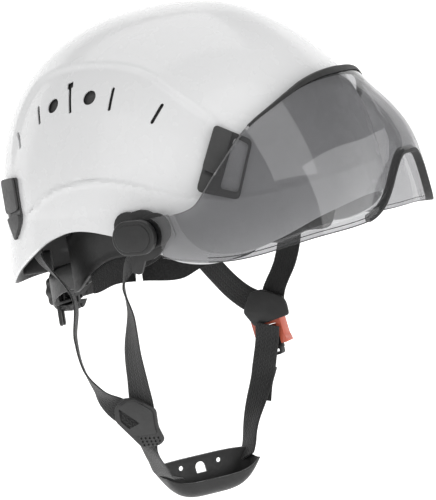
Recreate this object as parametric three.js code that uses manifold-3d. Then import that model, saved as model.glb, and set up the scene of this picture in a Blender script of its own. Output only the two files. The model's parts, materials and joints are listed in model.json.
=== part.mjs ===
// Industrial climbing-style hard hat: vented shell, textile suspension, ratchet headband,
// tip-up half-face visor and four-point chin strap.
// Millimetres, +Z up. The face looks along -Y and the wearer's left is +X.
// The origin is the centre of the head opening, at the level of the shell's widest section.
import * as THREE from 'three';
import * as BufferGeometryUtils from 'three/addons/utils/BufferGeometryUtils.js';
import Module from 'manifold-3d';

const wasm = await Module();
wasm.setup();

// ---------------------------------------------------------------- driving dimensions
const GAP = 0.3;                    // clearance between neighbouring pieces

const SHELL_HALF_LENGTH = 140;      // shell, front to back
const SHELL_HALF_WIDTH = 108;
const CROWN_HEIGHT = 134;
const DOME_POWER = 2.08;            // superellipse power of the vertical section at the front
const DOME_REAR = 0.2;              // added to it towards the back, which is fuller
const PLAN_POWER = 0.93;            // below 1 makes the plan a little squarer than an ellipse
const SHELL_WALL = 3;
const FLARE = 0.03;                 // how far the skirt opens outwards, as a share of its size
const FLARE_DEPTH = 45;

const PIVOT_Y = -25;                // visor pivot, on both sides
const PIVOT_Z = -16;
const VISOR_HALF_WIDTH = 119;
const VISOR_CENTRE_Y = -30;
const VISOR_DEPTH = 142;
const VISOR_POWER = 0.92;           // plan of the lens, squarer than an ellipse
const VISOR_STANDOFF = 6;           // lens to shell along its top edge
const LENS_WALL = 2.4;
const SLIDE_ANGLE = 15;             // the lens slides out along this direction, degrees above level
const SPINDLE_RADIUS = 4;

const BAND_HALF_WIDTH = 83;         // headband, to the middle of its thickness
const BAND_HALF_LENGTH = 112;
const BAND_WALL = 2;

const RATCHET_Z = -62;              // dial axis
const TAIL_HEIGHT = 18;
const TAIL_WALL = 1.6;
const PINION_RADIUS = 6;

const WEBBING = 19;                 // chin strap webbing
const WEBBING_THICK = 1.5;

// ---------------------------------------------------------------- materials
const finish = (color, roughness, metalness = 0, opacity = 1) =>
  new THREE.MeshStandardMaterial({ color, roughness, metalness, opacity, transparent: opacity < 1 });
const SHELL_WHITE = () => finish(0xf4f5f5, 0.22);
const BLACK_PLASTIC = () => finish(0x3a3a3a, 0.5);
const GREY_PLASTIC = () => finish(0x4c4c4c, 0.55);
const SMOKE_LENS = () => finish(0x8a8a8a, 0.05, 0, 0.5);
const RUBBER = () => finish(0x2e2e2e, 0.8);
const WEB_FABRIC = () => finish(0x363636, 0.9);
const FOAM = () => finish(0x303030, 0.95);
const BUCKLE_RED = () => finish(0xd85a46, 0.4);

// ---------------------------------------------------------------- small tools
const radians = THREE.MathUtils.degToRad;
const signedPower = (value, power) => Math.sign(value) * Math.abs(value) ** power;
const vector = (x, y, z) => new THREE.Vector3(x, y, z);
const smooth = (value) => THREE.MathUtils.smoothstep(value, 0, 1);

// Reads a smooth curve through [position, value] knots.
function follow(knots, position) {
  const last = knots.length - 1;
  if (position <= knots[0][0]) return knots[0][1];
  if (position >= knots[last][0]) return knots[last][1];
  const i = knots.findIndex((knot) => knot[0] > position) - 1;
  const slope = (a, b) => (knots[b][1] - knots[a][1]) / (knots[b][0] - knots[a][0]);
  const tangent = (k) => (k === 0 || k === last ? 0 : slope(k - 1, k + 1));
  const span = knots[i + 1][0] - knots[i][0];
  const s = (position - knots[i][0]) / span;
  const rise = knots[i + 1][1] - knots[i][1];
  const bend = s * (1 - s);
  return knots[i][1] + rise * (s * s * (3 - 2 * s))
    + span * bend * (tangent(i) * (1 - s) - tangent(i + 1) * s);
}

// Welds a mesh to shared vertices, drops empty triangles and turns the faces outwards.
function close(positions, triangles) {
  const raw = new THREE.BufferGeometry();
  raw.setAttribute('position', new THREE.Float32BufferAttribute(positions, 3));
  raw.setIndex(triangles);
  const welded = BufferGeometryUtils.mergeVertices(raw, 1e-3);
  const index = welded.index.array;
  const at = welded.attributes.position;
  const kept = [];
  let volume = 0;
  for (let i = 0; i < index.length; i += 3) {
    const [a, b, c] = [index[i], index[i + 1], index[i + 2]];
    if (a === b || b === c || c === a) continue;
    kept.push(a, b, c);
    const corner = (k) => vector().fromBufferAttribute(at, k);
    volume += corner(a).dot(corner(b).cross(corner(c)));
  }
  if (volume < 0) kept.reverse();
  welded.setIndex(kept);
  return welded;
}

// Solid between an outer and an inner surface, each a function of (u, v) in 0..1.
function walled(outer, inner, columns, rows, ring = false) {
  const count = ring ? columns : columns + 1;
  const positions = [];
  const triangles = [];
  for (const surface of [outer, inner]) {
    for (let i = 0; i < count; i++) {
      for (let j = 0; j <= rows; j++) positions.push(...surface(i / columns, j / rows));
    }
  }
  const at = (layer, i, j) => (layer * count + (i % count)) * (rows + 1) + j;
  const quad = (a, b, c, d) => triangles.push(a, b, c, a, c, d);
  for (let i = 0; i < columns; i++) {
    for (let j = 0; j < rows; j++) {
      quad(at(0, i, j), at(0, i + 1, j), at(0, i + 1, j + 1), at(0, i, j + 1));
      quad(at(1, i, j), at(1, i, j + 1), at(1, i + 1, j + 1), at(1, i + 1, j));
    }
    quad(at(0, i, 0), at(1, i, 0), at(1, i + 1, 0), at(0, i + 1, 0));
    quad(at(0, i, rows), at(0, i + 1, rows), at(1, i + 1, rows), at(1, i, rows));
  }
  for (let j = 0; j < rows && !ring; j++) {
    quad(at(0, 0, j), at(0, 0, j + 1), at(1, 0, j + 1), at(1, 0, j));
    quad(at(0, columns, j), at(1, columns, j), at(1, columns, j + 1), at(0, columns, j + 1));
  }
  return close(positions, triangles);
}

// Solid through a row of convex rings that all have the same number of corners.
function loft(rings) {
  const size = rings[0].length;
  const positions = rings.flat().flatMap((p) => p.toArray());
  const triangles = [];
  for (let k = 0; k + 1 < rings.length; k++) {
    for (let i = 0; i < size; i++) {
      const a = k * size + i;
      const b = k * size + ((i + 1) % size);
      triangles.push(a, b, b + size, a, b + size, a + size);
    }
  }
  const end = (rings.length - 1) * size;
  for (let i = 1; i + 1 < size; i++) triangles.push(0, i + 1, i, end, end + i, end + i + 1);
  return close(positions, triangles);
}

// Flat webbing along a smooth route; each stop is [point, direction of its width].
function ribbon(stops, width, thick, steps) {
  const route = new THREE.CatmullRomCurve3(stops.map((stop) => vector(...stop[0])), false, 'centripetal');
  const across = new THREE.CatmullRomCurve3(stops.map((stop) => vector(...stop[1])));
  const rings = [];
  for (let k = 0; k <= steps; k++) {
    const s = k / steps;
    const centre = route.getPoint(s);
    const along = route.getTangent(s);
    const side = across.getPoint(s);
    side.addScaledVector(along, -side.dot(along)).normalize().multiplyScalar(width / 2);
    const face = side.clone().cross(along).normalize().multiplyScalar(thick / 2);
    const corner = (a, b) => centre.clone().addScaledVector(side, a).addScaledVector(face, b);
    rings.push([corner(1, 1), corner(1, -1), corner(-1, -1), corner(-1, 1)]);
  }
  return loft(rings);
}

const toSolid = (geometry) => {
  const bare = geometry.index ? geometry.clone() : BufferGeometryUtils.mergeVertices(geometry);
  bare.deleteAttribute('normal');
  bare.deleteAttribute('uv');
  const merged = BufferGeometryUtils.mergeVertices(bare, 1e-4);
  return new wasm.Manifold(new wasm.Mesh({
    numProp: 3,
    vertProperties: new Float32Array(merged.attributes.position.array),
    triVerts: new Uint32Array(merged.index.array),
  }));
};
const toGeometry = (solid) => {
  const mesh = solid.getMesh();
  const geometry = new THREE.BufferGeometry();
  geometry.setAttribute('position', new THREE.BufferAttribute(mesh.vertProperties, 3));
  geometry.setIndex(new THREE.BufferAttribute(mesh.triVerts, 1));
  return geometry;
};
const cut = (body, ...tools) =>
  toGeometry(tools.reduce((solid, tool) => solid.subtract(toSolid(tool)), toSolid(body)));
const join = (...bodies) =>
  toGeometry(bodies.slice(1).reduce((solid, body) => solid.add(toSolid(body)), toSolid(bodies[0])));

function mirrored(geometry) {
  const copy = geometry.clone();
  const at = copy.attributes.position;
  for (let i = 0; i < at.count; i++) at.setX(i, -at.getX(i));
  const index = copy.index ? [...copy.index.array] : [...Array(at.count).keys()];
  copy.setIndex(index.reverse());
  copy.deleteAttribute('normal');
  copy.deleteAttribute('uv');
  return copy;
}

// Places a shape drawn in (right, up) on a frame given by its centre and three axes.
function framed(geometry, centre, right, up, out) {
  return geometry.applyMatrix4(new THREE.Matrix4().makeBasis(right, up, out).setPosition(centre));
}

// Plate on the +X side: the shape is drawn in (y, z) and runs from x = inner to x = outer.
function sidePlate(shape, inner, outer, segments = 6) {
  const plate = new THREE.ExtrudeGeometry(shape, {
    depth: outer - inner, bevelEnabled: false, curveSegments: segments,
  });
  return framed(plate, vector(inner, 0, 0), vector(0, 1, 0), vector(0, 0, 1), vector(1, 0, 0));
}

function circle(x, y, radius) {
  const shape = new THREE.Shape();
  shape.absarc(x, y, radius, 0, 2 * Math.PI);
  return shape;
}

function stadium(length, height, angle = 0, x = 0, y = 0) {
  const reach = (length - height) / 2;
  const shape = new THREE.Shape();
  const turn = radians(angle);
  const end = (s) => [x + s * reach * Math.cos(turn), y + s * reach * Math.sin(turn)];
  shape.absarc(...end(1), height / 2, turn - Math.PI / 2, turn + Math.PI / 2);
  shape.absarc(...end(-1), height / 2, turn + Math.PI / 2, turn + 1.5 * Math.PI);
  return shape;
}

function polygon(points) {
  return new THREE.Shape(points.map(([x, y]) => new THREE.Vector2(x, y)));
}

// Polygon with its corners rounded to one radius.
function rounded(points, radius) {
  const shape = new THREE.Shape();
  const corners = points.map(([x, y]) => new THREE.Vector2(x, y));
  corners.forEach((corner, i) => {
    const before = corners.at(i - 1).clone().sub(corner).setLength(radius).add(corner);
    const after = corners[(i + 1) % corners.length].clone().sub(corner).setLength(radius).add(corner);
    if (i === 0) shape.moveTo(before.x, before.y);
    else shape.lineTo(before.x, before.y);
    shape.quadraticCurveTo(corner.x, corner.y, after.x, after.y);
  });
  return shape;
}

const helmet = new THREE.Group();
function add(name, geometry, material, group) {
  const mesh = new THREE.Mesh(geometry, material);
  mesh.name = name;
  group.add(mesh);
  return mesh;
}
function addPair(name, geometry, material, group) {
  add(`${name}_left`, geometry, material(), group);
  add(`${name}_right`, mirrored(geometry), material(), group);
}
function assembly() {
  const group = new THREE.Group();
  helmet.add(group);
  return group;
}

// ---------------------------------------------------------------- shell form
// Lower edge of the shell against plan angle, 0 at the front and 180 at the back.
const EDGE = [[0, -14], [25, -20], [45, -32], [62, -40], [72, -37], [80, -27], [91, -14],
  [101, -9.5], [112, -14.5], [122, -24], [132, -33.5], [145, -45], [160, -49], [180, -49]];

// Point of the shell, grown outwards by grow, at a plan angle and a height.
function shellPoint(angle, z, grow = 0) {
  const t = radians(angle);
  const top = CROWN_HEIGHT + grow;
  const rearness = smooth((Math.abs(((angle + 180) % 360) - 180) - 50) / 90);
  const power = DOME_POWER + DOME_REAR * rearness;
  const spread = z > 0
    ? Math.max(0, 1 - Math.min(1, z / top) ** power) ** (1 / power)
    : 1 + FLARE * rearness * Math.min(1, -z / FLARE_DEPTH);
  return [
    (SHELL_HALF_WIDTH + grow) * signedPower(Math.sin(t), PLAN_POWER) * spread,
    -(SHELL_HALF_LENGTH + grow) * signedPower(Math.cos(t), PLAN_POWER) * spread,
    z,
  ];
}
const edgeHeight = (angle) => follow(EDGE, Math.abs(((angle + 180) % 360) - 180));

// Shell surface over (u, v): u runs round, v from crown to lower edge.
function shellSurface(grow, drop = 0) {
  const domeShare = 0.76;
  return (u, v) => {
    const angle = 360 * u - 180;
    const top = CROWN_HEIGHT + grow;
    if (v <= domeShare) {
      const lift = signedPower(Math.cos((v / domeShare) * Math.PI / 2), 2 / DOME_POWER);
      return shellPoint(angle, top * lift, grow);
    }
    return shellPoint(angle, (edgeHeight(angle) - drop) * (v - domeShare) / (1 - domeShare), grow);
  };
}

// Outward direction of the shell at a point of its upper part.
function shellNormal([x, y, z]) {
  const power = 2 / PLAN_POWER;
  const plan = (value, size) => signedPower(value / size, power - 1) / size;
  const rise = z > 0 ? signedPower(z / CROWN_HEIGHT, DOME_POWER - 1) / CROWN_HEIGHT : 0;
  return vector(plan(x, SHELL_HALF_WIDTH), plan(y, SHELL_HALF_LENGTH), rise).normalize();
}

// Frame on the shell: out from the surface, up the slope leaning forwards by lean, and across.
function shellFrame(angle, z, lean = 0) {
  const point = shellPoint(angle, z);
  const out = shellNormal(point);
  const up = vector(-out.z * Math.sign(out.x), 0, Math.abs(out.x)).addScaledVector(vector(0, -1, 0), lean);
  up.addScaledVector(out, -up.dot(out)).normalize();
  return { centre: vector(...point), right: up.clone().cross(out).normalize(), up, out };
}

// ---------------------------------------------------------------- shell and its vents
const COLUMNS = 44;
const ROWS = 12;
const VENT_LEVELS = { depth: 16, inset: -10 };
// Vents on one side: plan angle, height, forward lean, and outline.
const slit = (length, width = 2.4) => stadium(length, width, 90);
const key = rounded([[-1.2, -12], [1.2, -12], [1.2, 7], [2.6, 7], [2.6, 12], [-2.6, 12], [-2.6, 7],
  [-1.2, 7]], 0.6);
const VENTS = [
  [130, 56, -0.36, slit(14)], [119.5, 72, -0.29, slit(15.5)], [112.5, 77, 0, circle(0, 0, 5.3)],
  [105, 81, -0.16, key], [96.5, 79, 0, circle(0, 0, 5.3)], [89, 76, 0.11, slit(17)],
  [74, 62, 0.56, slit(15.5)],
];

const shellGroup = assembly();
{
  const body = walled(shellSurface(0), shellSurface(-SHELL_WALL), COLUMNS, ROWS, true);
  const tools = [];
  for (const [angle, z, lean, outline] of VENTS) {
    const { centre, right, up, out } = shellFrame(angle, z, lean);
    const tool = new THREE.ExtrudeGeometry(outline, {
      depth: VENT_LEVELS.depth, bevelEnabled: false, curveSegments: 4,
    });
    framed(tool, centre.addScaledVector(out, VENT_LEVELS.inset), right, up, out);
    tools.push(tool, mirrored(tool));
  }
  add('shell', cut(body, ...tools), SHELL_WHITE(), shellGroup);
}

// Dust screen behind each row of vents.
const SCREEN = { from: 68, to: 135, low: 48, high: 90, standoff: 1.4, wall: 1.2 };
{
  const surface = (inset) => (u, v) => {
    const angle = SCREEN.from + (SCREEN.to - SCREEN.from) * u;
    const crest = SCREEN.high - 18 * Math.abs(2 * u - 1) ** 2;
    return shellPoint(angle, SCREEN.low + (crest - SCREEN.low) * v, -SHELL_WALL - inset);
  };
  const screen = walled(surface(SCREEN.standoff), surface(SCREEN.standoff + SCREEN.wall), 10, 4);
  addPair('vent_screen', screen, GREY_PLASTIC, shellGroup);
}

// ---------------------------------------------------------------- headlamp clips
// Each clip is a base plate that follows the shell and a sprung flap hinged along its top edge.
const CLIPS = {
  front: {
    angle: 54.5, z: 26, lean: 0.35,
    plate: rounded([[-12.5, 16], [14, 19], [14, -26], [-14.5, -24]], 4),
    window: rounded([[-11, 12.5], [-0.5, 14.5], [-0.5, -20], [-12.6, -19.5]], 2.5),
    flap: rounded([[1, 17.5], [14, 19], [14.2, -11], [1, -13]], 3),
    nose: rounded([[1, -15.5], [14, -13.5], [13.5, -25.5], [1, -23]], 2.5),
  },
  rear: {
    angle: 132, z: 7, lean: -0.12,
    plate: rounded([[-14, 22], [12, 24], [13, -5], [3, -22], [-13, -9]], 3.5),
    window: null,
    flap: rounded([[-14, 22], [12, 24], [12.5, -1], [-13.2, -1]], 4),
    nose: rounded([[-13, -4], [12, -4], [3, -21], [-12, -9.5]], 2.5),
  },
};
const BASE_FACE = 1;
const FLAP_FACE = 3;
const clipGroup = assembly();
{
  const allowance = walled(shellSurface(3 * GAP, 30), () => [0, 0, -60], COLUMNS, ROWS, true);
  const plate = (outline, from, to) => new THREE.ExtrudeGeometry(outline, {
    depth: to - from, bevelEnabled: false, curveSegments: 3,
  }).translate(0, 0, from);
  for (const [end, clip] of Object.entries(CLIPS)) {
    const { centre, right, up, out } = shellFrame(clip.angle, clip.z, clip.lean);
    const seat = (geometry) => framed(geometry, centre, right, up, out);
    let base = join(seat(plate(clip.plate, -6, BASE_FACE)), seat(plate(clip.nose, 0, FLAP_FACE)));
    base = cut(base, allowance);
    if (clip.window) base = cut(base, seat(plate(clip.window, -8, BASE_FACE + 1)));
    addPair(`lamp_clip_base_${end}`, base, GREY_PLASTIC, clipGroup);
    addPair(`lamp_clip_flap_${end}`, seat(plate(clip.flap, BASE_FACE + GAP, FLAP_FACE)),
      GREY_PLASTIC, clipGroup);
  }
}

// ---------------------------------------------------------------- visor
// Heights of the lens's edges against plan angle: the lower one has the notch for the nose.
const LENS_LOW = [[0, 11], [4, 10.5], [7, 6], [10, -2], [13, -11], [17, -20], [22, -26], [28, -28.5],
  [44, -31.5], [61, -37], [69, -38], [78, -36], [85, -32], [90, -29]];
const LENS_TOP = [[0, 73.5], [12.6, 72], [23, 68], [31, 62], [38.5, 55], [45, 48], [50, 40.5], [54.3, 31],
  [60, 17], [65, 7], [70, 0.5], [76, -2.5], [82, -4], [90, -5]];
const lensTop = (angle) => follow(LENS_TOP, Math.abs(angle));
function lensPoint(angle, v, inset = 0) {
  const t = radians(angle);
  const top = lensTop(angle);
  const low = follow(LENS_LOW, Math.abs(angle));
  const [nearX, nearY] = shellPoint(angle, Math.max(0, top), VISOR_STANDOFF + LENS_WALL - inset);
  const farX = (VISOR_HALF_WIDTH - inset) * signedPower(Math.sin(t), VISOR_POWER);
  const farY = VISOR_CENTRE_Y - (VISOR_DEPTH - inset) * Math.cos(t) ** VISOR_POWER;
  const bulge = Math.sin(Math.min(1, v / 0.95) * Math.PI / 2);
  const side = smooth((Math.abs(angle) - 58) / 26);
  const mix = bulge + (1 - bulge) * side;
  return [nearX + (farX - nearX) * mix, nearY + (farY - nearY) * mix, top + (low - top) * v];
}
// Plan angles across the lens, closer together round the notch.
const LENS_REACH = 86;
const lensAngle = (u) => {
  const s = 2 * u - 1;
  return LENS_REACH * (0.62 * s + 0.38 * s ** 3);
};

const visorGroup = assembly();
const EAR = { inner: 116.6, outer: 119, height: 20, front: 28, back: -12 };
{
  const lensBody = walled(
    (u, v) => lensPoint(lensAngle(u), v), (u, v) => lensPoint(lensAngle(u), v, LENS_WALL), 48, 9);
  const slide = radians(SLIDE_ANGLE);
  const onEar = (r, h) => [
    PIVOT_Y - r * Math.cos(slide) + h * Math.sin(slide),
    PIVOT_Z + r * Math.sin(slide) + h * Math.cos(slide),
  ];
  const half = EAR.height / 2;
  const ear = sidePlate(rounded([onEar(EAR.back, half), onEar(EAR.back, -half),
    onEar(EAR.front, -half), onEar(EAR.front, half - 4)], 3), EAR.inner, EAR.outer, 3);
  const fork = SPINDLE_RADIUS + GAP + 0.2;
  const slot = join(
    sidePlate(circle(PIVOT_Y, PIVOT_Z, fork), EAR.inner - 8, EAR.outer + 8, 10),
    sidePlate(polygon([onEar(0, fork), onEar(-30, fork), onEar(-30, -fork), onEar(0, -fork)]),
      EAR.inner - 8, EAR.outer + 8));
  const lens = join(lensBody, ear, mirrored(ear));
  add('visor_lens', cut(lens, slot, mirrored(slot)), SMOKE_LENS(), visorGroup);
}

// Rubber strip that closes the gap between the lens's top edge and the shell.
const SEAL = { reach: 47, tall: 5, lip: 2.2 };
{
  const face = (inset, drop) => (u, v) => {
    const angle = SEAL.reach * (2 * u - 1);
    const grow = VISOR_STANDOFF - GAP - inset;
    const z = lensTop(angle) - 0.6 - drop * v;
    return shellPoint(angle, z, grow);
  };
  const taper = (u) => 0.25 + 0.75 * (1 - (2 * u - 1) ** 2) ** 2;
  const outer = (u, v) => face(0, SEAL.tall * taper(u))(u, v);
  const inner = (u, v) => face((VISOR_STANDOFF - SEAL.lip) * taper(u), SEAL.tall * taper(u))(u, v);
  add('visor_seal', walled(outer, inner, 30, 1), RUBBER(), visorGroup);
}

// Soft trim round the nose notch, along the inside of the lens's lower edge.
const TRIM = { reach: 24, width: 4, thick: 2 };
{
  const face = (inset) => (u, v) => {
    const angle = TRIM.reach * (2 * u - 1);
    const tall = lensTop(angle) - follow(LENS_LOW, Math.abs(angle));
    return lensPoint(angle, 1 - (TRIM.width / tall) * v, LENS_WALL + inset);
  };
  add('nose_trim', walled(face(GAP), face(GAP + TRIM.thick), 24, 1), RUBBER(), visorGroup);
}

// Pivot stack from the shell outwards: bracket, washer, arm plate, lens ear, knob.
const STACK = {
  bracket: [109.5, 112], washer: [112.3, 112.9], arm: [113.2, 114.9], knob: [119.3, 126],
};
{
  const hump = circle(PIVOT_Y + 11, PIVOT_Z + 6, 10.5);
  const disc = circle(PIVOT_Y, PIVOT_Z, 17);
  const hook = rounded([[PIVOT_Y - 2, PIVOT_Z - 10], [PIVOT_Y + 11, PIVOT_Z - 10],
    [PIVOT_Y + 13, PIVOT_Z - 24], [PIVOT_Y + 6, PIVOT_Z - 26]], 2.5);
  const hole = (pair, radius) => sidePlate(circle(PIVOT_Y, PIVOT_Z, radius), pair[0] - 1, pair[1] + 1, 10);
  const bracket = join(...[hump, disc, hook].map((part) => sidePlate(part, ...STACK.bracket, 10)));
  addPair('visor_bracket', cut(bracket, hole(STACK.bracket, SPINDLE_RADIUS + GAP)), BLACK_PLASTIC,
    visorGroup);
  const washer = cut(sidePlate(circle(PIVOT_Y, PIVOT_Z, 10), ...STACK.washer, 10),
    hole(STACK.washer, SPINDLE_RADIUS + GAP));
  addPair('visor_washer', washer, () => finish(0x9a9a9a, 0.35, 1), visorGroup);
  const arm = cut(
    sidePlate(stadium(35, 22, 180 - SLIDE_ANGLE, PIVOT_Y - 6.3, PIVOT_Z + 1.7), ...STACK.arm, 6),
    hole(STACK.arm, SPINDLE_RADIUS + GAP));
  addPair('visor_arm', arm, BLACK_PLASTIC, visorGroup);
  const knobOutline = stadium(32, 23, 0, PIVOT_Y, PIVOT_Z);
  const cap = new THREE.ExtrudeGeometry(knobOutline, {
    depth: STACK.knob[1] - STACK.knob[0] - 2, bevelThickness: 2, bevelSize: 2, bevelOffset: -2,
    bevelSegments: 2, curveSegments: 8,
  });
  framed(cap, vector(STACK.knob[0], 0, 0), vector(0, 1, 0), vector(0, 0, 1), vector(1, 0, 0));
  const behind = sidePlate(stadium(50, 40, 0, PIVOT_Y, PIVOT_Z), STACK.knob[0] - 5, STACK.knob[0]);
  const spindle = sidePlate(circle(PIVOT_Y, PIVOT_Z, SPINDLE_RADIUS), 110, STACK.knob[0] + 2, 10);
  addPair('visor_knob', join(cut(cap, behind), spindle), BLACK_PLASTIC, visorGroup);
}

// ---------------------------------------------------------------- headband and pads
// Plan of the band: 0 at the front, 180 at the back, positive to the wearer's left.
function bandPoint(angle, z, inset = 0) {
  const t = radians(angle);
  return [(BAND_HALF_WIDTH - inset) * Math.sin(t), -(BAND_HALF_LENGTH - inset) * Math.cos(t), z];
}
// Slab along the band between two angles; top and low are heights against angle.
function bandSlab(from, to, top, low, inset, thick, columns, rows = 1, crown = 0) {
  const face = (depth, swell) => (u, v) => {
    const angle = from + (to - from) * u;
    const a = Math.abs(angle);
    const puff = swell * Math.sin(Math.PI * u) * Math.sin(Math.PI * v);
    return bandPoint(angle, follow(low, a) + (follow(top, a) - follow(low, a)) * v, depth + puff);
  };
  return walled(face(inset, 0), face(inset + thick, crown), columns, rows);
}
const BAND_END = 126;
const BAND_TOP = [[0, 4], [40, 0], [90, -4], [112, -6], [126, -16]];
const BAND_LOW = [[0, -14], [20, -17], [40, -30], [75, -31], [100, -33], [112, -42], [126, -56]];
const suspensionGroup = assembly();
add('headband', bandSlab(-BAND_END, BAND_END, BAND_TOP, BAND_LOW, -BAND_WALL / 2, BAND_WALL, 40),
  BLACK_PLASTIC(), suspensionGroup);
add('brow_pad', bandSlab(-90, 90, [[0, 0], [90, -8]], [[0, -18], [20, -22], [45, -40], [65, -44], [75, -51], [90, -50]],
  BAND_WALL / 2 + 0.5, 6, 24, 2, 2), FOAM(), suspensionGroup);
addPair('side_pad', bandSlab(93, 115, [[93, -10], [115, -16]],
  [[93, -50], [102, -51], [115, -57]], BAND_WALL / 2 + 0.5, 5, 8, 2, 2), FOAM, suspensionGroup);

// Six hangers hold the band and the crown straps to the shell.
const HANGER_ANGLES = { front: 35, side: 97, rear: 150 };
const HANGER = { width: 15, tall: 15, low: { front: -8, side: -8, rear: -42 } };
const hangerFrame = (angle) => {
  const inside = vector(...bandPoint(angle, 0, -BAND_WALL / 2 - 1.8));
  const outside = vector(...shellPoint(angle, 0, -SHELL_WALL - 2.4));
  return { inside, outside, out: outside.clone().sub(inside).normalize() };
};
for (const [name, angle] of Object.entries(HANGER_ANGLES)) {
  const { inside, outside, out } = hangerFrame(angle);
  const block = new THREE.ExtrudeGeometry(
    rounded([[-HANGER.width / 2, 0], [HANGER.width / 2, 0],
      [HANGER.width / 2 - 3, HANGER.tall], [-HANGER.width / 2 + 3, HANGER.tall]], 2),
    { depth: inside.distanceTo(outside), bevelEnabled: false, curveSegments: 2 });
  framed(block, inside.setZ(HANGER.low[name]), vector(0, 0, 1).cross(out), vector(0, 0, 1), out);
  addPair(`hanger_${name}`, block, BLACK_PLASTIC, suspensionGroup);
}

// Three straps cross over the crown, one above the other, with a pad below them.
const CRADLE = { top: 96, width: 20, thick: 1.2, layer: 1.9 };
function crownStrap(from, to, toSign, layer) {
  const rise = (end) => HANGER.low[end] + HANGER.tall + 1.2;
  const stop = (angle, share, z) => {
    const { inside, outside } = hangerFrame(Math.abs(angle));
    const foot = inside.clone().lerp(outside, 0.45);
    const x = Math.sign(angle) * foot.x * share;
    return [x, foot.y * share, z];
  };
  const top = CRADLE.top + layer * CRADLE.layer;
  const [fromAngle, toAngle] = [-toSign * HANGER_ANGLES[from], toSign * HANGER_ANGLES[to]];
  const a = stop(fromAngle, 1, 0);
  const b = stop(toAngle, 1, 0);
  const across = vector(b[0] - a[0], b[1] - a[1], 0).cross(vector(0, 0, 1)).normalize().toArray();
  const route = [
    stop(fromAngle, 1, rise(from)), stop(fromAngle, 0.97, 34), stop(fromAngle, 0.8, 66),
    stop(fromAngle, 0.45, 0.93 * top), [0, 0, top], stop(toAngle, 0.45, 0.93 * top),
    stop(toAngle, 0.8, 66), stop(toAngle, 0.97, 34), stop(toAngle, 1, rise(to)),
  ];
  return ribbon(route.map((point) => [point, across]), CRADLE.width, CRADLE.thick, 22);
}
add('crown_strap_side_to_side', crownStrap('side', 'side', 1, 0), WEB_FABRIC(), suspensionGroup);
add('crown_strap_front_right', crownStrap('front', 'rear', 1, 1), WEB_FABRIC(), suspensionGroup);
add('crown_strap_front_left', crownStrap('front', 'rear', -1, 2), WEB_FABRIC(), suspensionGroup);
{
  const pad = new THREE.LatheGeometry([[0, -7], [24, -8.5], [33, -11], [34, -8], [25, -4.2], [12, -2.4],
    [0, -1.8]].map(([r, h]) => new THREE.Vector2(r, h)), 20);
  pad.rotateX(Math.PI / 2).translate(0, 0, CRADLE.top - CRADLE.thick - 0.6);
  add('crown_pad', pad, FOAM(), suspensionGroup);
}

// ---------------------------------------------------------------- ratchet at the nape
const napeGroup = assembly();
const TAIL_Y = { left: 118.2, right: 115.8 };
const SLOT_HALF = PINION_RADIUS + 0.6;
const TAIL_REACH = 10;              // how far a tail's tip runs past the middle
function bandTail(layerY) {
  const [start, second] = [bandPoint(119, 0, 3.2), bandPoint(127, 0, 2.4)];
  const plan = new THREE.CatmullRomCurve3([vector(...start), vector(...second),
    vector(54.5, 88, 0), vector(44, 102, 0), vector(33, 111, 0), vector(22.5, layerY - 0.3, 0),
    vector(8, layerY, 0), vector(-TAIL_REACH, layerY, 0)], false, 'centripetal');
  const rings = [];
  const steps = 18;
  for (let k = 0; k <= steps; k++) {
    const s = k / steps;
    const centre = plan.getPoint(s);
    const out = vector(0, 0, 1).cross(plan.getTangent(s)).normalize().multiplyScalar(TAIL_WALL / 2);
    const middle = RATCHET_Z + 20 * smooth(1 - s * 1.4);
    const corner = (a, b) => centre.clone().addScaledVector(out, a).setZ(middle + b * TAIL_HEIGHT / 2);
    rings.push([corner(1, 1), corner(1, -1), corner(-1, -1), corner(-1, 1)]);
  }
  const window = new THREE.ExtrudeGeometry(rounded([[-7.5, -SLOT_HALF], [20.5, -SLOT_HALF],
    [20.5, SLOT_HALF], [-7.5, SLOT_HALF]], 2), { depth: 8, bevelEnabled: false, curveSegments: 2 });
  framed(window, vector(0, layerY + 4, RATCHET_Z), vector(1, 0, 0), vector(0, 0, 1), vector(0, -1, 0));
  return cut(loft(rings), window);
}
add('band_tail_left', bandTail(TAIL_Y.left), BLACK_PLASTIC(), napeGroup);
add('band_tail_right', mirrored(bandTail(TAIL_Y.right)), BLACK_PLASTIC(), napeGroup);

// Cradle: curved plate behind the nape, with a comb along its lower edge.
const CRADLE_ARC = { radius: 55, y: 113.4, reach: 38, wall: 2.2, top: -44, low: -73 };
{
  const face = (inset) => (u, v) => {
    const angle = CRADLE_ARC.reach * (2 * u - 1);
    const r = CRADLE_ARC.radius - inset;
    const centreY = CRADLE_ARC.y - CRADLE_ARC.radius;
    const low = CRADLE_ARC.low + 25 * Math.abs(2 * u - 1);
    return [r * Math.sin(radians(angle)), centreY + r * Math.cos(radians(angle)),
      CRADLE_ARC.top + (low - CRADLE_ARC.top) * v];
  };
  const plate = walled(face(0), face(CRADLE_ARC.wall), 18, 2);
  const notches = [-7.5, -2.5, 2.5, 7.5].map((x) =>
    new THREE.BoxGeometry(2.4, 60, 9).translate(x, 96, CRADLE_ARC.low + 1));
  add('nape_cradle', cut(plate, ...notches), BLACK_PLASTIC(), napeGroup);
  const pad = (inset) => (u, v) => {
    const angle = 0.9 * CRADLE_ARC.reach * (2 * u - 1);
    const puff = inset > 4 ? 2 * Math.sin(Math.PI * u) * Math.sin(Math.PI * v) : 0;
    const r = CRADLE_ARC.radius - inset - puff;
    const centreY = CRADLE_ARC.y - CRADLE_ARC.radius;
    return [r * Math.sin(radians(angle)), centreY + r * Math.cos(radians(angle)),
      CRADLE_ARC.top - 3 + (CRADLE_ARC.low + 12 + 8 * Math.abs(2 * u - 1) - CRADLE_ARC.top) * v];
  };
  add('nape_pad', walled(pad(CRADLE_ARC.wall + 0.5), pad(CRADLE_ARC.wall + 5), 10, 2), FOAM(), napeGroup);
}
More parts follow.
